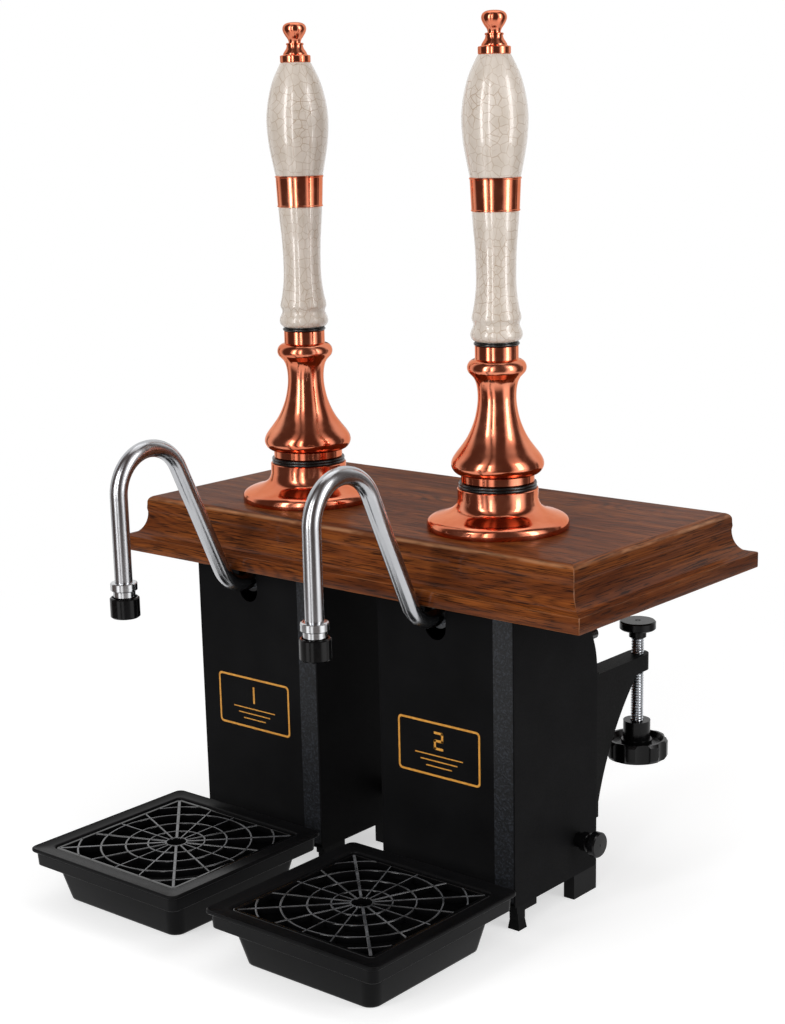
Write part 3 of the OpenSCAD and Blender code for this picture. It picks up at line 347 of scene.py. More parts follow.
def machined_brass(node):
    """Machined brass, dulled a little by beer and air."""
    cloud = node("ShaderNodeTexNoise", {
        "Vector": node("ShaderNodeTexCoord", output="Object"), "Scale": 1000 / 15, "Detail": 4.0})
    return {"Base Color": node("ShaderNodeValToRGB", {0: cloud}, stops=((0.3, "#9A7B3C"), (0.7, "#C6A25A"))),
            "Metallic": 1.0,
            "Roughness": node("ShaderNodeMapRange", {0: cloud, 1: 0.3, 2: 0.7, 3: 0.25, 4: 0.42})}


def leathery_coat(node):
    """Textured powder coat: blue-black, with raised worms 2 mm apart. Its colour is painted light, lighter on
    the worms' tops and lighter overall than the casing's black.
    """
    coords = node("ShaderNodeTexCoord", output="Object")
    sway = node("ShaderNodeTexNoise", {"Vector": coords, "Scale": 1000 / 6, "Detail": 1.0}, output="Color")
    swayed = node("ShaderNodeVectorMath", {0: node("ShaderNodeVectorMath", {
        0: sway, "Scale": 0.006}, operation="SCALE"), 1: coords})
    worms = node("ShaderNodeTexNoise", {"Vector": swayed, "Scale": 1000 / 2, "Detail": 2.0, "Roughness": 0.6})
    return {"Base Color": node("ShaderNodeValToRGB", {0: worms}, stops=(
                (0.36, "#0D0E10"), (0.52, "#16181C"), (0.64, "#282B31"))),
            "Roughness": 0.42, "Specular IOR Level": 0.25,
            "Normal": node("ShaderNodeBump", {"Height": worms, "Distance": 0.4 * MM, "Strength": 0.8})}


def web_plastic(node):
    """Glossy moulded black plastic, whose blades' top faces are painted grey in patches as glints of light.
    """
    coords = node("ShaderNodeTexCoord", output="Object")
    split = {axis: node("ShaderNodeSeparateXYZ", {0: coords}, output=axis) for axis in "XY"}
    out_x = node("ShaderNodeMath", {0: split["X"]}, operation="ABSOLUTE")
    off = [node("ShaderNodeMath", {0: node("ShaderNodeMath", {0: value, 1: place}, operation="SUBTRACT")},
                operation="ABSOLUTE")
           for value, place in zip((out_x, split["Y"]), axis_of("tray_grille_right"))]
    furthest = node("ShaderNodeMath", {0: off[0], 1: off[1]}, operation="MAXIMUM")
    inside = node("ShaderNodeMath", {
        0: furthest, 1: (FRAME_HALF - FRAME_BLADE / 2) * MM}, operation="LESS_THAN")
    facing_up = node("ShaderNodeSeparateXYZ", {0: node("ShaderNodeTexCoord", output="Normal")}, output="Z")
    # Painted highlight: the blades' upward faces inside the frame are lightened grey in patches, for glints
    # of light
    top = node("ShaderNodeMapRange", {0: facing_up, 1: 0.86, 2: 0.98})
    cloud = node("ShaderNodeTexNoise", {"Vector": coords, "Scale": 1000 / 18, "Detail": 3.0})
    scuffed = node("ShaderNodeMapRange", {0: cloud, 1: 0.35, 2: 0.65, 3: 0.25, 4: 1.0})
    worn = node("ShaderNodeMath", {0: top, 1: scuffed}, operation="MULTIPLY")
    amount = node("ShaderNodeMath", {0: worn, 1: inside}, operation="MULTIPLY")
    return {"Base Color": node("ShaderNodeMix", {0: amount, 6: linear("#0B0B0C"), 7: linear("#6C6D70")},
                               output=2, data_type="RGBA"),
            "Roughness": node("ShaderNodeMapRange", {0: amount, 1: 0.0, 2: 1.0, 3: 0.14, 4: 0.32}),
            "Specular IOR Level": 0.45}


def gold_ink(node):
    """Screen-printed gold ink: flat orange-gold with faint thin spots."""
    cloud = node("ShaderNodeTexNoise", {
        "Vector": node("ShaderNodeTexCoord", output="Object"), "Scale": 1000 / 3, "Detail": 3.0})
    return {"Base Color": node("ShaderNodeValToRGB", {0: cloud}, stops=((0.3, "#D08E35"), (0.7, "#EDAA4B"))),
            "Roughness": node("ShaderNodeMapRange", {0: cloud, 1: 0.3, 2: 0.7, 3: 0.4, 4: 0.55}),
            "Specular IOR Level": 0.3}


MATERIALS = {
    "wood": finished("oiled_stained_hardwood", oiled_hardwood),
    "copper": finished("lacquered_polished_copper", polished_copper),
    "china": finished("crackle_glazed_china", crackle_china),
    # Drawn and belt-polished: bright and neutral, with soft streaks that run up it
    "stainless": finished("satin_stainless_tube", drawn_steel("#B9BABD", 0.21, 4.0)),
    # Turned and buffed: the brightest of the steels, with faint lines round it
    "polished_steel": finished("polished_steel", drawn_steel("#CCCED0", 0.18, 1.0, (0.06, 0.06, 1))),
    # Plated after machining: cooler and duller
    "steel": finished("zinc_plated_steel", drawn_steel("#B9BDC2", 0.28, 1.0)),
    "brass": finished("machined_brass", machined_brass),
    # Baked powder: flat black, with a grain that only just shows
    "black_sheet": finished("black_powder_coat", black_finish(
        "#0C0C0D", "#141415", grain_mm=1.0, depth_mm=0.05, roughness=0.6, gloss=0.04)),
    # Brushed paint over iron: nearly matt and a little rough
    "black_iron": finished("black_painted_iron", black_finish(
        "#090909", "#0F0F10", grain_mm=1.6, depth_mm=0.08, roughness=0.5, gloss=0.05)),
    # Moulded in a finely textured tool: a soft, low sheen
    "black_plastic": finished("moulded_black_plastic", black_finish(
        "#0B0B0C", "#121213", grain_mm=0.8, depth_mm=0.03, roughness=0.33, gloss=0.07)),
    # Turned from rod and polished: smooth, with sharp highlights
    "gloss_black": finished("gloss_black_acetal", black_finish(
        "#070707", "#0C0C0D", grain_mm=3.0, depth_mm=0.005, roughness=0.14, gloss=0.2, strength=0.2)),
    # Moulded and a little oily: deep black with a wet-looking shine
    "rubber": finished("black_rubber", black_finish(
        "#060606", "#0B0B0B", grain_mm=0.9, depth_mm=0.02, roughness=0.24, gloss=0.5)),
}
# The corner strips of the front covers carry a coarser, leathery coat, painted lighter than the sheet for the
# light the slanted strip catches
STRIP_COAT = finished("textured_powder_coat", leathery_coat)
# The webs' blade tops carry painted glints
WEB_PLASTIC = finished("glossy_black_plastic", web_plastic)
GOLD_INK = finished("gold_label_ink", gold_ink)
PHENOLIC = finished("black_phenolic", black_finish(
    "#080808", "#0E0E0F", grain_mm=1.2, depth_mm=0.02, roughness=0.2, gloss=0.18))
# The clamps' wheels and pads and the casings' knobs are glossier than the trays, the legs are painted,
# and the nuts behind the spouts get a dark steel colour as painted shade. A key is the start of a node's
# name.
NODE_FINISH = {
    "clamp_handwheel": PHENOLIC, "clamp_pad": PHENOLIC, "side_knob": PHENOLIC,
    "front_legs": MATERIALS["black_iron"],
    # Painted shade: the nuts are darkened for the shadow they sit in
    "swan_nuts": finished("black_nickel_plate", drawn_steel("#2C2D2F", 0.2, 1.0)),
}


def dress_cad_nodes():
    """Gives each CAD node the finish of its slot, or its own."""
    for part in frame["record"]["subparts"]:
        finish = MATERIALS[part["material_slot"]]
        for start, own in NODE_FINISH.items():
            if part["node"].startswith(start):
                finish = own
        materials = frame["nodes"][part["node"]].data.materials
        materials.clear()
        materials.append(finish)


dress_cad_nodes()

# ---- Mesh tools ----

# Edges between faces that turn more than this are drawn sharp
SHARP = math.radians(32)
# Faces round a turned piece
LATHE_SIDES = 96


def built_mesh(name, mesh_parts):
    """A mesh of gathered vertices and faces."""
    mesh = bpy.data.meshes.new(name)
    mesh.from_pydata(mesh_parts[0], [], mesh_parts[1])
    return mesh


def finish_mesh(name, mesh, material, body, nodes=()):
    """Links a finished mesh, shades it, ties it to its body, and hides the CAD nodes it stands for."""
    for polygon in mesh.polygons:
        polygon.use_smooth = True
    mesh.set_sharp_from_angle(angle=SHARP)
    mesh.materials.clear()
    mesh.materials.append(material)
    piece = bpy.data.objects.new(name, mesh)
    bpy.context.scene.collection.objects.link(piece)
    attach(piece, body)
    if nodes:
        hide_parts(*nodes)


def curve_through(points, steps=6):
    """Points of a smooth curve through the given (r, z) points."""
    out = []
    last = len(points) - 1
    for i in range(last):
        a, b, c, d = (Vector(points[min(max(k, 0), last)]) for k in (i - 1, i, i + 1, i + 2))
        for k in range(steps):
            t = k / steps
            out.append(0.5 * (2 * b + (c - a) * t + (2 * a - 5 * b + 4 * c - d) * t ** 2
                              + (3 * b - a - 3 * c + d) * t ** 3))
    return [tuple(v) for v in out] + [tuple(points[last])]


def bead(r, z, radius, start, end, steps=12):
    """Arc points about (r, z) from start to end degrees."""
    angles = [math.radians(start + (end - start) * k / steps) for k in range(steps + 1)]
    return [(r + radius * math.cos(a), z + radius * math.sin(a)) for a in angles]


def lathe(mesh_parts, outline, centre, sides=LATHE_SIDES):
    """Turns a closed (r, z) outline in mm about a vertical axis at centre, in metres.

    mesh_parts is a pair of lists, of vertices and of faces, which the new ones are added to.
    """
    vertices, faces = mesh_parts
    rows = []
    for r, z in outline:
        count = sides if r > 1e-4 else 1
        rows.append((len(vertices), count))
        for k in range(count):
            a = 2 * math.pi * k / sides
            vertices.append((centre[0] + r * MM * math.cos(a), centre[1] + r * MM * math.sin(a),
                             centre[2] + z * MM))
    for (low, low_n), (high, high_n) in zip(rows, rows[1:] + rows[:1]):
        for k in range(sides):
            n = (k + 1) % sides
            if low_n == 1 and high_n == 1:
                break
            if low_n == 1:
                faces.append((low, high + n, high + k))
            elif high_n == 1:
                faces.append((low + k, low + n, high))
            else:
                faces.append((low + k, low + n, high + n, high + k))


def turned_piece(name, node, outline, slot, body, centres=None):
    """A turned piece in place of a CAD node. Its outline's heights count from the node's foot."""
    parts = ([], [])
    for x, y in centres or [axis_of(node)]:
        lathe(parts, outline, (x, y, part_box(node)[0].z))
    finish_mesh(name, built_mesh(name, parts), MATERIALS[slot], body, [node])


# ---- Turned pieces ----

# Outlines are (radius, height) in mm. STEM_BORE is the bore of what is threaded on a handle's stem.
STEM_BORE = 8.2
# The column's height from its skirt to its neck. Its hem is below the skirt.
COLUMN_HEIGHT = 115.0
# Bore of the rubber rings on the base flanges
RING_BORE = 24.6
# The spouts' tube
TUBE_RADIUS = 7.5


def finial(side):
    """The copper finial: a drum, a waist, a collar and a pear-shaped top."""
    outline = [(0, 0), (12.9, 0), (13.4, 0.5), (13.4, 5.5), (12.9, 6.1), (11.2, 6.3), (10.5, 6.9)]
    outline += curve_through([(10.3, 8), (9.0, 10), (7.6, 12.2), (7.0, 14.6)])
    outline += [(7.6, 14.9), (7.7, 15.9), (7.2, 16.4), (5.5, 16.6)]
    outline += curve_through([(5.3, 17.4), (6.1, 19.6), (8.2, 22.6), (9.9, 25.8), (10.4, 28.4),
                              (9.6, 31.1), (7.4, 32.9), (4, 33.8), (0, 34)], 8)
    turned_piece("finial_" + side + "_turned", "finial_" + side, outline, "copper", "handle_" + side)


def upper_grip(side):
    """The china grip above the band, fullest near its middle."""
    outline = [(STEM_BORE, 0), (20.7, 0)]
    outline += curve_through([(21.1, 0.6), (23.6, 13.5), (26.1, 28), (27.3, 45), (26.5, 57.5), (24.3, 69.5),
                              (20.7, 81.5), (15.6, 92.2), (13.6, 95.9)], 8)
    outline += [(12.9, 96.5), (STEM_BORE, 96.5)]
    turned_piece("upper_grip_" + side + "_glazed", "upper_grip_" + side, outline, "china", "handle_" + side)


def grip_band(side):
    """The copper band between the grips, with a small bead at each edge."""
    outline = [(STEM_BORE, 0), (19.9, 0), (20.3, 0.3), (20.3, 1.1), (19.9, 1.5), (21.0, 25.4), (21.5, 25.8),
               (21.6, 26.6), (21.3, 27), (STEM_BORE, 27)]
    turned_piece("grip_band_" + side + "_spun", "grip_band_" + side, outline, "copper", "handle_" + side)


def lower_grip(side):
    """The china grip below the band: two rolls at its foot, and a waist over them."""
    outline = [(STEM_BORE, 0), (18.2, 0)]
    outline += curve_through([(18.6, 0.1), (20.6, 1.6), (21.9, 4.6), (21.5, 8), (20.1, 11.2), (19.3, 13.8),
                              (19.8, 16), (20.7, 18.6), (20.4, 21.8), (19.5, 25.4), (18.4, 31.5), (17.2, 41),
                              (16.7, 52), (16.9, 66), (17.5, 79), (18.7, 93), (19.5, 104.6)], 8)
    outline += [(19.2, 106), (STEM_BORE, 106)]
    turned_piece("lower_grip_" + side + "_glazed", "lower_grip_" + side, outline, "china", "handle_" + side)


def neck_ring(side):
    """The rubber ring that the lower grip sits on."""
    outline = [(STEM_BORE, 0), (17.5, 0)] + bead(18.0, 1.35, 1.3, -85, 95, 10)
    outline += [(17.2, 2.8), (17.2, 3.5), (STEM_BORE, 3.5)]
    turned_piece("neck_ring_" + side + "_moulded", "neck_ring_" + side, outline, "rubber", "handle_" + side)


def column(side):
    """The hollow copper baluster: a hem, a straight skirt, a bead, a waist, and a second bead at the neck."""
    low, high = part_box("column_" + side)
    top = (high.z - low.z) / MM
    foot = top - COLUMN_HEIGHT
    outer = [(28, 0), (30.4, foot), (31.2, foot + 0.8), (31.2, foot + 6.6)]
    outer += curve_through([(32.2, foot + 7.1), (34.5, foot + 7.4), (37.3, foot + 9.6), (39.1, foot + 13),
                            (39.3, foot + 16.4), (38.0, foot + 20.2), (35.4, foot + 24.2),
                            (31.2, foot + 29.6), (26.4, foot + 36.4), (22.3, foot + 44.4),
                            (19.0, foot + 53.5), (17.0, foot + 63), (16.3, foot + 70.5),
                            (16.6, foot + 78), (17.9, foot + 84.4), (20.0, foot + 88.6)], 6)
    outer += bead(17.9, foot + 96.5, 7.1, -38, 74, 16)
    outer += [(18.9, foot + 103.4), (18.3, foot + 103.8), (18.3, foot + 114.6), (17.9, top)]
    inner = [(STEM_BORE, top), (STEM_BORE, foot + 43), (19, foot + 43), (28, foot + 32),
             (35, foot + 22), (36, foot + 15.6), (29, foot + 4), (26.6, 0)]
    turned_piece("column_" + side + "_spun", "column_" + side, outer + inner, "copper", "handle_" + side)


def base_flange(side):
    """The spun flange on the board: a shell that flares from its straight collar."""
    outline = [(58, 0), (60.2, 0)]
    outline += curve_through([(60.6, 0.3), (61, 2.4), (60.9, 5), (59.8, 7.6), (57.4, 9.5), (54, 10.9),
                              (49.4, 12.3), (44.6, 13.9), (40.6, 15.8), (37.6, 18.2), (35.7, 21.2),
                              (34.7, 24.6)], 6)
    outline += [(34.5, 25.6), (34.5, 33.9), (33.9, 34.5), (31.6, 34.5), (31.6, 24)]
    outline += [(33.4, 19), (37.6, 14.4), (44, 11.2), (54, 7.6), (57.6, 5)]
    turned_piece("base_flange_" + side + "_spun", "base_flange_" + side, outline, "copper", "root")


def base_rings():
    """The rubber rings on both flanges, with two ribs each."""
    outline = [(RING_BORE, 0), (32.9, 0)]
    outline += bead(31.7, 1.3, 1.6, -50, 70, 6) + bead(31.7, 3.7, 1.6, -70, 50, 6)
    outline += [(32.9, 5), (RING_BORE, 5)]
    turned_piece("base_rings_moulded", "base_rings", outline, "rubber", "root",
                 [axis_of("base_flange_" + s) for s in SIDES])


def nozzle_collars():
    """The collars at both spouts' ends: a flat ring over a narrower neck."""
    bore = TUBE_RADIUS + 0.05
    outline = [(bore, 0), (9.2, 0), (9.4, 0.3), (9.4, 5.0), (9.8, 5.4), (10.9, 5.6), (11.4, 6.1),
               (11.4, 11.7), (10.9, 12.3), (10.2, 12.5), (bore, 12.5)]
    turned_piece("nozzle_collars_polished", "nozzle_collars", outline, "polished_steel", "root",
                 [axis_of("sparkler_" + s) for s in SIDES])


for side in SIDES:
    for make in (finial, upper_grip, grip_band, lower_grip, neck_ring, column, base_flange):
        make(side)
base_rings()
nozzle_collars()

# ---- Swept pieces ----


def sweep_tree(name, upright):
    """A node tree that sweeps a rectangular section with round corners along the edges of a mesh."""
    tree = bpy.data.node_groups.new(name, "GeometryNodeTree")
    sockets = {}
    for label, kind, value in (("Path", "NodeSocketGeometry", None), ("Width", "NodeSocketFloat", 0.01),
                               ("Height", "NodeSocketFloat", 0.01), ("Corner", "NodeSocketFloat", 0.005),
                               ("Corner steps", "NodeSocketInt", 8), ("Finish", "NodeSocketMaterial", None)):
        socket = tree.interface.new_socket(label, in_out="INPUT", socket_type=kind)
        if value is not None:
            socket.default_value = value
        sockets[label] = socket.identifier
    tree.interface.new_socket("Geometry", in_out="OUTPUT", socket_type="NodeSocketGeometry")
    start = tree.nodes.new("NodeGroupInput").outputs
    path = add(tree, "GeometryNodeMeshToCurve", {"Mesh": start["Path"]})
    mode = "Z_UP" if upright else "MINIMUM_TWIST"
    path = add(tree, "GeometryNodeSetCurveNormal", {"Curve": path}, mode=mode)
    section = add(tree, "GeometryNodeCurvePrimitiveQuadrilateral", {
        "Width": start["Width"], "Height": start["Height"]})
    section = add(tree, "GeometryNodeFilletCurve", {
        "Curve": section, "Count": start["Corner steps"], "Radius": start["Corner"],
        "Limit Radius": True}, mode="POLY")
    swept = add(tree, "GeometryNodeCurveToMesh", {"Curve": path, "Profile Curve": section, "Fill Caps": True})
    real = add(tree, "GeometryNodeRealizeInstances", {"Geometry": swept})
    done = add(tree, "GeometryNodeSetMaterial", {"Geometry": real, "Material": start["Finish"]})
    add(tree, "NodeGroupOutput", {"Geometry": done})
    return tree, sockets


def run_tree(tree_and_sockets, source, values):
    """Runs a node tree on a mesh and returns the result as a plain mesh."""
    tree, sockets = tree_and_sockets
    carrier = bpy.data.objects.new("carrier", source)
    bpy.context.scene.collection.objects.link(carrier)
    modifier = carrier.modifiers.new("tree", "NODES")
    modifier.node_group = tree
    for label, value in values.items():
        modifier[sockets[label]] = value
    graph = bpy.context.evaluated_depsgraph_get()
    mesh = bpy.data.meshes.new_from_object(carrier.evaluated_get(graph))
    carrier.modifiers.clear()
    bpy.data.objects.remove(carrier)
    return mesh


def path_mesh(*paths, closed=False):
    """A mesh of bare edges along each list of points."""
    points, edges = [], []
    for path in paths:
        first, n = len(points), len(path)
        points.extend(path)
        edges.extend((first + k, first + (k + 1) % n) for k in range(n if closed else n - 1))
    mesh = bpy.data.meshes.new("path")
    mesh.from_pydata(points, edges, [])
    return mesh


# Centreline of the spout's tube: where its first bend starts, its radii, and the lean of its rising leg
BEND_Y, SPOUT_Z = -31.0, 262.0
BEND_RADIUS = 30
ARCH_RADIUS = 36
RISE_LEAN = 25
BEND_STEPS = 16
ARCH_STEPS = 40


def swan_neck(side):
    """The spout: out of the casing, up a leaning leg, over the arch and down to the nozzle."""
    node = "swan_neck_" + side
    low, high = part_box(node)
    x = (low.x + high.x) / 2
    nozzle_y = low.y / MM + TUBE_RADIUS
    arch_y, arch_z = nozzle_y + ARCH_RADIUS, high.z / MM - TUBE_RADIUS - ARCH_RADIUS
    points = [(high.y / MM, SPOUT_Z)]
    for k in range(BEND_STEPS + 1):
        a = math.radians((90 - RISE_LEAN) * k / BEND_STEPS)
        points.append((BEND_Y - BEND_RADIUS * math.sin(a), SPOUT_Z + BEND_RADIUS * (1 - math.cos(a))))
    for k in range(ARCH_STEPS + 1):
        a = math.radians(RISE_LEAN + (180 - RISE_LEAN) * k / ARCH_STEPS)
        points.append((arch_y + ARCH_RADIUS * math.cos(a), arch_z + ARCH_RADIUS * math.sin(a)))
    points.append((nozzle_y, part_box("nozzle_collars")[0].z / MM))
    path = path_mesh([(x, y * MM, z * MM) for y, z in points])
    mesh = run_tree(TUBE_SWEEP, path, {
        "Width": 2 * TUBE_RADIUS * MM, "Height": 2 * TUBE_RADIUS * MM, "Corner": TUBE_RADIUS * MM,
        "Corner steps": 10, "Finish": MATERIALS["stainless"]})
    finish_mesh(node + "_drawn", mesh, MATERIALS["stainless"], "root", [node])


TUBE_SWEEP = sweep_tree("tube_sweep", upright=False)
BLADE_SWEEP = sweep_tree("blade_sweep", upright=True)
for side in SIDES:
    swan_neck(side)

# ---- Moulded, pressed and printed pieces ----

# Steps round each corner of a round rectangle
CORNER_STEPS = 8


def round_rectangle(half_x, half_y, corner):
    """Points of a rectangle with round corners, in mm, anticlockwise."""
    out = []
    for x, y, start in ((1, 1, 0), (-1, 1, 90), (-1, -1, 180), (1, -1, 270)):
        for k in range(CORNER_STEPS + 1):
            a = math.radians(start + 90 * k / CORNER_STEPS)
            out.append((x * (half_x - corner) + corner * math.cos(a),
                        y * (half_y - corner) + corner * math.sin(a)))
    return out


def stacked(mesh_parts, rows, closed=False):
    """Joins rows of points, given in metres, into a skin. An open stack is capped at both ends."""
    vertices, faces = mesh_parts
    first, n = len(vertices), len(rows[0])
    for row in rows:
        vertices.extend(row)
    for i in range(len(rows) if closed else len(rows) - 1):
        low, high = first + i * n, first + (i + 1) % len(rows) * n
        faces.extend((low + k, low + (k + 1) % n, high + (k + 1) % n, high + k) for k in range(n))
    if not closed:
        faces.append(tuple(first + k for k in reversed(range(n))))
        faces.append(tuple(first + (len(rows) - 1) * n + k for k in range(n)))


def tray(side):
    """The moulded tray: a tapered basin under a deep-skirted rim, with a well for the grille."""
    node = "drip_tray_" + side
    x, y = axis_of(node)
    # Half width, corner radius and height: up the outside, over the rim, down the well and across the floor
    levels = [(66.5, 8, 0), (68.3, 9.5, 0.4), (69.6, 10.8, 1.5), (70.2, 11.5, 3.2), (77.2, 12, 33.5),
              (77.3, 12, 46), (85.4, 5, 46), (85.5, 5, 34.3), (85.9, 5.4, 34), (87.4, 6.8, 34),
              (87.8, 7, 34.4), (88.4, 7, 45.6), (90.8, 7, 46.6), (91.4, 7, 47.3), (91.5, 7, 48.6),
              (91.2, 6.8, 49.5), (90.4, 6.2, 50), (89.4, 5.6, 49.9), (88.4, 5, 49.3), (78.6, 6, 49.3),
              (77.4, 5.6, 49.1), (76.5, 5, 48.4), (76.1, 4.5, 47.4), (76, 4.3, 42), (75, 6, 42), (75, 6, 34),
              (67.6, 10, 5), (66.6, 9.4, 3.4), (64.8, 8, 2.5)]
    rows = [[(x + px * MM, y + py * MM, z * MM) for px, py in round_rectangle(w, w, c)] for w, c, z in levels]
    parts = ([], [])
    stacked(parts, rows)
    finish_mesh(node + "_moulded", built_mesh(node, parts), MATERIALS["black_plastic"],
                "tray_" + side, [node])


# The web: radii of its whole rings and of the one that the frame cuts short, and its blades
RING_RADII = (9.4, 25.2, 44.7, 66.3)
CORNER_RING = 86.2
SPOKES = 16
BLADE = 2
DIAGONAL_BLADE = 3
BLADE_HEIGHT = 6


def web_grille(side):
    """The web: hub ring, three more rings, a ring cut short by the frame, and sixteen spokes."""
    node = "tray_grille_" + side
    low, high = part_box(node)
    x, y = axis_of(node)
    z = (low.z + high.z) / 2

    def at(r, a):
        return (x + r * MM * math.cos(math.radians(a)), y + r * MM * math.sin(math.radians(a)), z)

    rings = path_mesh(*[[at(r, 3 * k) for k in range(120)] for r in RING_RADII], closed=True)
    reach = math.degrees(math.acos(FRAME_HALF / CORNER_RING))
    arcs = path_mesh(*[[at(CORNER_RING, a + reach + (90 - 2 * reach) * k / 16) for k in range(17)]
                       for a in (0, 90, 180, 270)])
    thin, wide = [], []
    for k in range(SPOKES):
        a = 360 / SPOKES * k
        length = FRAME_HALF / max(abs(math.cos(math.radians(a))), abs(math.sin(math.radians(a))))
        if k % 4 == 2:
            wide.append([at(RING_RADII[0], a), at(length - FRAME_BLADE / 2, a)])
        else:
            thin.append([at(RING_RADII[0], a), at(length, a)])
    border = path_mesh([(x + px * MM, y + py * MM, z) for px, py in
                        round_rectangle(FRAME_HALF, FRAME_HALF, 3)], closed=True)
    whole = bmesh.new()
    for path, width in ((rings, BLADE), (arcs, BLADE), (path_mesh(*thin), BLADE),
                        (path_mesh(*wide), DIAGONAL_BLADE), (border, FRAME_BLADE)):
        whole.from_mesh(run_tree(BLADE_SWEEP, path, {
            "Width": width * MM, "Height": BLADE_HEIGHT * MM, "Corner": 0.65 * MM, "Corner steps": 3,
            "Finish": MATERIALS["black_plastic"]}))
    mesh = bpy.data.meshes.new(node)
    whole.to_mesh(mesh)
    whole.free()
    finish_mesh(node + "_web", mesh, WEB_PLASTIC, "grille_" + side, [node])


# The slanted corner of a front cover, and how far its coat stands proud of the sheet and stays off its edges
STRIP_WIDTH, STRIP_DEPTH = 20, 3
STRIP_PROUD, STRIP_SUNK = 0.12, 0.05
STRIP_MARGIN = 0.2


def cover_strip(side):
    """The chamfered corner of a front cover, in its coarser coat with painted light: a skin a hair proud of
    the sheet.
    """
    low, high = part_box("front_cover_" + side)
    flat_edge = Vector((high.x - STRIP_WIDTH * MM, low.y, 0))
    side_edge = Vector((high.x, low.y + STRIP_DEPTH * MM, 0))
    across = (side_edge - flat_edge).normalized()
    out = Vector((across.y, -across.x, 0))
    ends = (flat_edge + across * STRIP_MARGIN * MM, side_edge - across * STRIP_MARGIN * MM)
    sunk, proud = ([end + out * lift * MM for end in ends] for lift in (-STRIP_SUNK, STRIP_PROUD))
    ring = [sunk[0], proud[0], proud[1], sunk[1]]
    parts = ([], [])
    stacked(parts, [[(v.x, v.y, z) for v in ring] for z in
                    (low.z + STRIP_MARGIN * MM, high.z - STRIP_MARGIN * MM)])
    name = "cover_strip_" + side
    finish_mesh(name, built_mesh(name, parts), STRIP_COAT, "root")


# The clamp screw's thread. Its pitch is 1.75 mm on the real one, and is drawn 2.5 mm so that it shows.
SCREW_RADIUS = 6.0
PITCH = 2.5
THREAD_DEPTH = 1.2
SCREW_SIDES = 20
ROWS_PER_TURN = 4


def threaded_rod(side):
    """The clamp screw, 12 mm across, with its thread."""
    node = "clamp_screw_" + side
    low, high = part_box(node)
    x, y = axis_of(node)
    length = (high.z - low.z) / MM
    rows = []
    for i in range(int(length / PITCH * ROWS_PER_TURN) + 1):
        z = min(i * PITCH / ROWS_PER_TURN, length)
        row = []
        for k in range(SCREW_SIDES):
            turn = (z / PITCH - k / SCREW_SIDES) % 1
            r = SCREW_RADIUS - THREAD_DEPTH * abs(2 * turn - 1)
            a = 2 * math.pi * k / SCREW_SIDES
            row.append((x + r * MM * math.cos(a), y + r * MM * math.sin(a), low.z + z * MM))
        rows.append(row)
    parts = ([], [])
    stacked(parts, rows)
    finish_mesh(node + "_threaded", built_mesh(node, parts), MATERIALS["steel"],
                "screw_" + side, [node])


# The label: its place on the cover, and how far its ink stands proud of the sheet and reaches into it
LABEL_SHIFT, LABEL_HEIGHT = -7.5, 145.5
INK_PROUD, INK_SUNK = 0.12, 0.05
# Its three rules and the strokes of its number, each as centre, half width and half height
RULES = [(0, -5.5, 26, 0.5), (0, -10.5, 20, 0.5), (0, -15.5, 14, 0.5)]
NUMBER = {
    "left": [(0, 8, 1.1, 8)],
    "right": [(0, 15, 5, 1.1), (4, 11.5, 1.1, 4.5), (0, 8, 5, 1.1), (-4, 4.5, 1.1, 4.5), (0, 1, 5, 1.1)],
}


def casing_label(side):
    """A gold-printed border on the casing front, with a plain pump number and three rules in it."""
    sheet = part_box("front_cover_" + side)[0].y
    x, z = axis_of("column_" + side)[0] + LABEL_SHIFT * MM, LABEL_HEIGHT * MM
    front, back = sheet - INK_PROUD * MM, sheet + INK_SUNK * MM
    outer, inner = round_rectangle(44.5, 24.5, 4), round_rectangle(42.6, 22.6, 2.6)
    parts = ([], [])
    stacked(parts, [[(x + px * MM, depth, z + pz * MM) for px, pz in outline] for outline, depth in
                    ((outer, back), (outer, front), (inner, front), (inner, back))], closed=True)
    for cx, cz, half_x, half_z in RULES + NUMBER[side]:
        outline = round_rectangle(half_x, half_z, min(half_x, half_z) * 0.6)
        stacked(parts, [[(x + (cx + px) * MM, depth, z + (cz + pz) * MM) for px, pz in outline]
                        for depth in (back, front)])
    name = "label_" + side
    finish_mesh(name, built_mesh(name, parts), GOLD_INK, "root")


def cut_round_holes(mesh, centres, radius, low, high):
    """Cuts upright round holes, in mm, through a mesh."""
    parts = ([], [])
    for x, y in centres:
        lathe(parts, [(0, low), (radius, low), (radius, high), (0, high)], (x, y, 0), 64)
    cutter = bpy.data.objects.new("cutter", built_mesh("cutter", parts))
    body = bpy.data.objects.new("body", mesh)
    for piece in (cutter, body):
        bpy.context.scene.collection.objects.link(piece)
    cut = body.modifiers.new("cut", "BOOLEAN")
    cut.operation, cut.solver, cut.object = "DIFFERENCE", "EXACT", cutter
    result = bpy.data.meshes.new_from_object(body.evaluated_get(bpy.context.evaluated_depsgraph_get()))
    for piece in (cutter, body):
        bpy.data.objects.remove(piece)
    return result


# Radius of the holes for the stems in the board
STEM_HOLE = 32


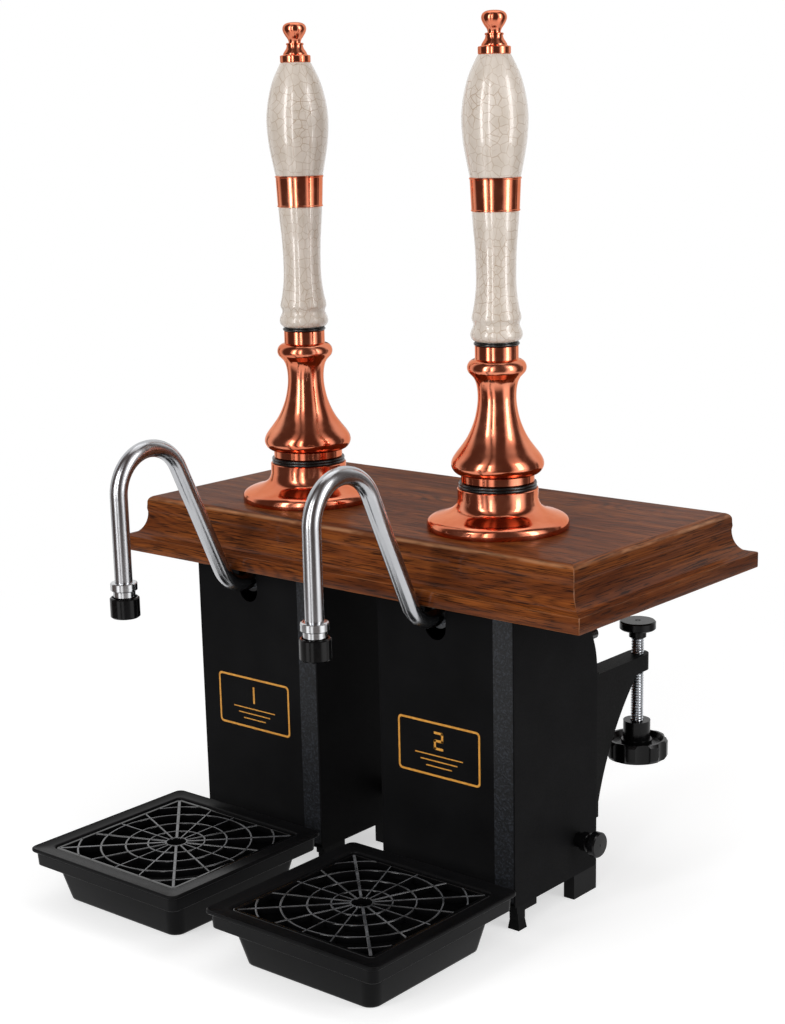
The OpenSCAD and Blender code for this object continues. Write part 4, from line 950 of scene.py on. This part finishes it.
def plinth():
    """The moulded board: square lip, cove, and a rounded top arris, all mitred at the corners."""
    x, y = BOARD_CENTRE.x, BOARD_CENTRE.y
    half_x, half_y = BOARD_HALF.x / MM, BOARD_HALF.y / MM
    z = BOARD_LOW.z / MM
    # How far each step of the moulding stands in from the board's edge, and its height
    levels = [(2, 0), (0.4, 0.2), (0, 1), (0, 13), (0.4, 13.8), (1.2, 14.1), (3.6, 14.2), (4.4, 14.6)]
    levels += [(4.4 + 12.8 * math.sin(math.radians(a)), 14.6 + 20.6 * (1 - math.cos(math.radians(a))))
               for a in range(9, 91, 9)]
    levels += [(17, 36), (16.6, 38.5), (16.9, 41.6)]
    levels += [(23 - 6 * math.cos(math.radians(a)), 44 + 6 * math.sin(math.radians(a)))
               for a in range(0, 91, 10)]
    parts = ([], [])
    stacked(parts, [[(x + px * MM, y + py * MM, (z + level) * MM) for px, py in
                     round_rectangle(half_x - inset, half_y - inset, 0.9)] for inset, level in levels])
    mesh = cut_round_holes(built_mesh("plinth", parts), [axis_of("column_" + s) for s in SIDES],
                           STEM_HOLE, z - 5, z + 60)
    finish_mesh("plinth_moulded", mesh, MATERIALS["wood"], "root", ["plinth"])


plinth()
for side in SIDES:
    tray(side)
    web_grille(side)
    casing_label(side)
    cover_strip(side)
    threaded_rod(side)

# ---- Stage ----

# What metal sees in the studio: a white backdrop behind, with gaps at these turns, and a dark room in front
DARK_SIDE = (0.64, -0.77, 0.0)
DARK_ROOM = "#5C504C"
GAP_TURNS = (62, 128, 172)
# Soft glows round the lamps: turn, half width in degrees, brightness
GLOWS = ((-97, 15, 1.6), (-69, 11, 1.4), (7, 27, 1.6))
# The level light on everything
AMBIENT = "#BCBCBC"
# The floor's half width, the share of its white that is its own, and where it turns into the backdrop
FLOOR_HALF = 12
FLOOR_GLOW = 0.56
FLOOR_FADE = (0.6, 1.2)
# What the lamps point at
LAMP_TARGET = Vector((0, 0, 0.4))
# Name, turn and rise in degrees, distance, width, height, and radiance
LAMPS = (
    ("key", 7, 16, 1.9, 0.42, 1.6, 5.5),
    ("strip_left", -97, 16, 1.9, 0.3, 1.6, 7.5),
    ("strip_front", -69, 16, 1.9, 0.16, 1.6, 6.5),
    ("overhead", 120, 78, 2.0, 1.5, 1.2, 1.2),
)


def light_paths(node, *kinds):
    """1 for rays of any of these kinds."""
    value = 0.0
    for kind in kinds:
        value = node("ShaderNodeMath", {0: node("ShaderNodeLightPath", output="Is %s Ray" % kind), 1: value},
                     operation="MAXIMUM")
    return value


def backdrop(node, toward):
    """Colour of the studio in a direction, as metal sees it: white behind, dark in front, with soft glows."""
    facing = node("ShaderNodeVectorMath", {0: toward, 1: DARK_SIDE}, output="Value", operation="DOT_PRODUCT")
    studio = node("ShaderNodeMapRange", {0: facing, 1: -0.42, 2: -0.2, 3: 1.0, 4: 0.0})
    height = node("ShaderNodeSeparateXYZ", {0: toward}, output="Z")
    above = node("ShaderNodeMapRange", {0: height, 1: 0.15, 2: 0.3})
    for turn in GAP_TURNS:
        across = (-math.sin(math.radians(turn)), math.cos(math.radians(turn)), 0)
        aside = node("ShaderNodeVectorMath", {0: toward, 1: across}, output="Value", operation="DOT_PRODUCT")
        off = node("ShaderNodeMath", {0: aside}, operation="ABSOLUTE")
        beside = node("ShaderNodeMapRange", {0: off, 1: 0.05, 2: 0.11, 3: 0.05, 4: 1.0})
        gap = node("ShaderNodeMath", {0: beside, 1: above}, operation="MAXIMUM")
        studio = node("ShaderNodeMath", {0: studio, 1: gap}, operation="MULTIPLY")
    room = node("ShaderNodeValToRGB", {0: studio}, stops=((0.0, DARK_ROOM), (1.0, "#FFFFFF")))
    flat = node("ShaderNodeVectorMath", {0: toward, 1: (1, 1, 0)}, operation="MULTIPLY")
    level = node("ShaderNodeVectorMath", {0: flat}, operation="NORMALIZE")
    glow = 0.0
    for turn, half_width, brightness in GLOWS:
        to_lamp = (math.cos(math.radians(turn)), math.sin(math.radians(turn)), 0)
        near = node("ShaderNodeVectorMath", {0: level, 1: to_lamp}, output="Value", operation="DOT_PRODUCT")
        soft = node("ShaderNodeMapRange", {
            0: near, 1: math.cos(math.radians(half_width)), 2: 1.0, 3: 0.0, 4: brightness},
            interpolation_type="SMOOTHSTEP")
        glow = node("ShaderNodeMath", {0: soft, 1: glow})
    fading = node("ShaderNodeMapRange", {0: height, 1: 0.6, 2: 0.95, 3: 1.0, 4: 0.0})
    glow = node("ShaderNodeMath", {0: glow, 1: fading}, operation="MULTIPLY")
    return node("ShaderNodeMix", {0: 1.0, 6: room, 7: glow}, output=2, data_type="RGBA", blend_type="ADD")


def make_world():
    """White to the camera. Metal and glass see the backdrop, its gaps and the dark room."""
    world = bpy.data.worlds.new("studio")
    bpy.context.scene.world = world
    world.use_nodes = True
    world.node_tree.nodes.clear()
    node = functools.partial(add, world.node_tree)
    studio = backdrop(node, node("ShaderNodeTexCoord", output="Generated"))
    mirrored = light_paths(node, "Glossy", "Transmission")
    lit = node("ShaderNodeMix", {0: mirrored, 6: linear(AMBIENT), 7: studio}, output=2, data_type="RGBA")
    colour = node("ShaderNodeMix", {0: light_paths(node, "Camera"), 6: lit, 7: linear("#FFFFFF")},
                  output=2, data_type="RGBA")
    back = node("ShaderNodeBackground", {"Color": colour, "Strength": 1.0})
    node("ShaderNodeOutputWorld", {"Surface": back})


def make_floor():
    """A white floor that keeps the object's shadow near it and turns into the backdrop further out."""
    corners = [(x * FLOOR_HALF, y * FLOOR_HALF, 0) for x, y in ((-1, -1), (1, -1), (1, 1), (-1, 1))]
    mesh = built_mesh("floor", (corners, [(0, 1, 2, 3)]))
    floor = bpy.data.objects.new("floor", mesh)
    material = bpy.data.materials.new("white_floor")
    material.use_nodes = True
    material.node_tree.nodes.clear()
    node = functools.partial(add, material.node_tree)
    seen = light_paths(node, "Camera", "Glossy", "Transmission")
    matt = node("ShaderNodeBsdfDiffuse", {"Color": linear("#D2D2D2")})
    glow = node("ShaderNodeEmission", {"Strength": node("ShaderNodeMath", {
        0: seen, 1: FLOOR_GLOW}, operation="MULTIPLY")})
    near = node("ShaderNodeAddShader", {0: matt, 1: glow})
    place = node("ShaderNodeTexCoord", output="Object")
    from_middle = node("ShaderNodeVectorMath", {0: place}, output="Value", operation="LENGTH")
    far = node("ShaderNodeMapRange", {0: from_middle, 1: FLOOR_FADE[0], 2: FLOOR_FADE[1]})
    outward = node("ShaderNodeVectorMath", {0: place}, operation="NORMALIZE")
    colour = node("ShaderNodeMix", {0: light_paths(node, "Camera"), 6: backdrop(node, outward),
                                    7: linear("#FFFFFF")}, output=2, data_type="RGBA")
    white = node("ShaderNodeEmission", {"Color": colour, "Strength": 1.0})
    shader = node("ShaderNodeMixShader", {
        0: node("ShaderNodeMath", {0: far, 1: seen}, operation="MULTIPLY"), 1: near, 2: white})
    node("ShaderNodeOutputMaterial", {"Surface": shader})
    mesh.materials.append(material)
    bpy.context.scene.collection.objects.link(floor)


def softbox(name, turn, rise, distance, width, height, radiance):
    """A rectangular lamp, placed by the turn and rise of its direction from the middle of the object."""
    a, b = math.radians(turn), math.radians(rise)
    away = Vector((math.cos(a) * math.cos(b), math.sin(a) * math.cos(b), math.sin(b)))
    data = bpy.data.lights.new(name, "AREA")
    data.shape = "RECTANGLE"
    data.size, data.size_y = width, height
    data.energy = radiance * math.pi * width * height
    lamp = bpy.data.objects.new(name, data)
    facing = away.to_track_quat("Z", "Y").to_matrix().to_4x4()
    lamp.matrix_world = Matrix.Translation(LAMP_TARGET + away * distance) @ facing
    bpy.context.scene.collection.objects.link(lamp)
    lamp.visible_camera = False


make_world()
make_floor()
for lamp_sizes in LAMPS:
    softbox(*lamp_sizes)
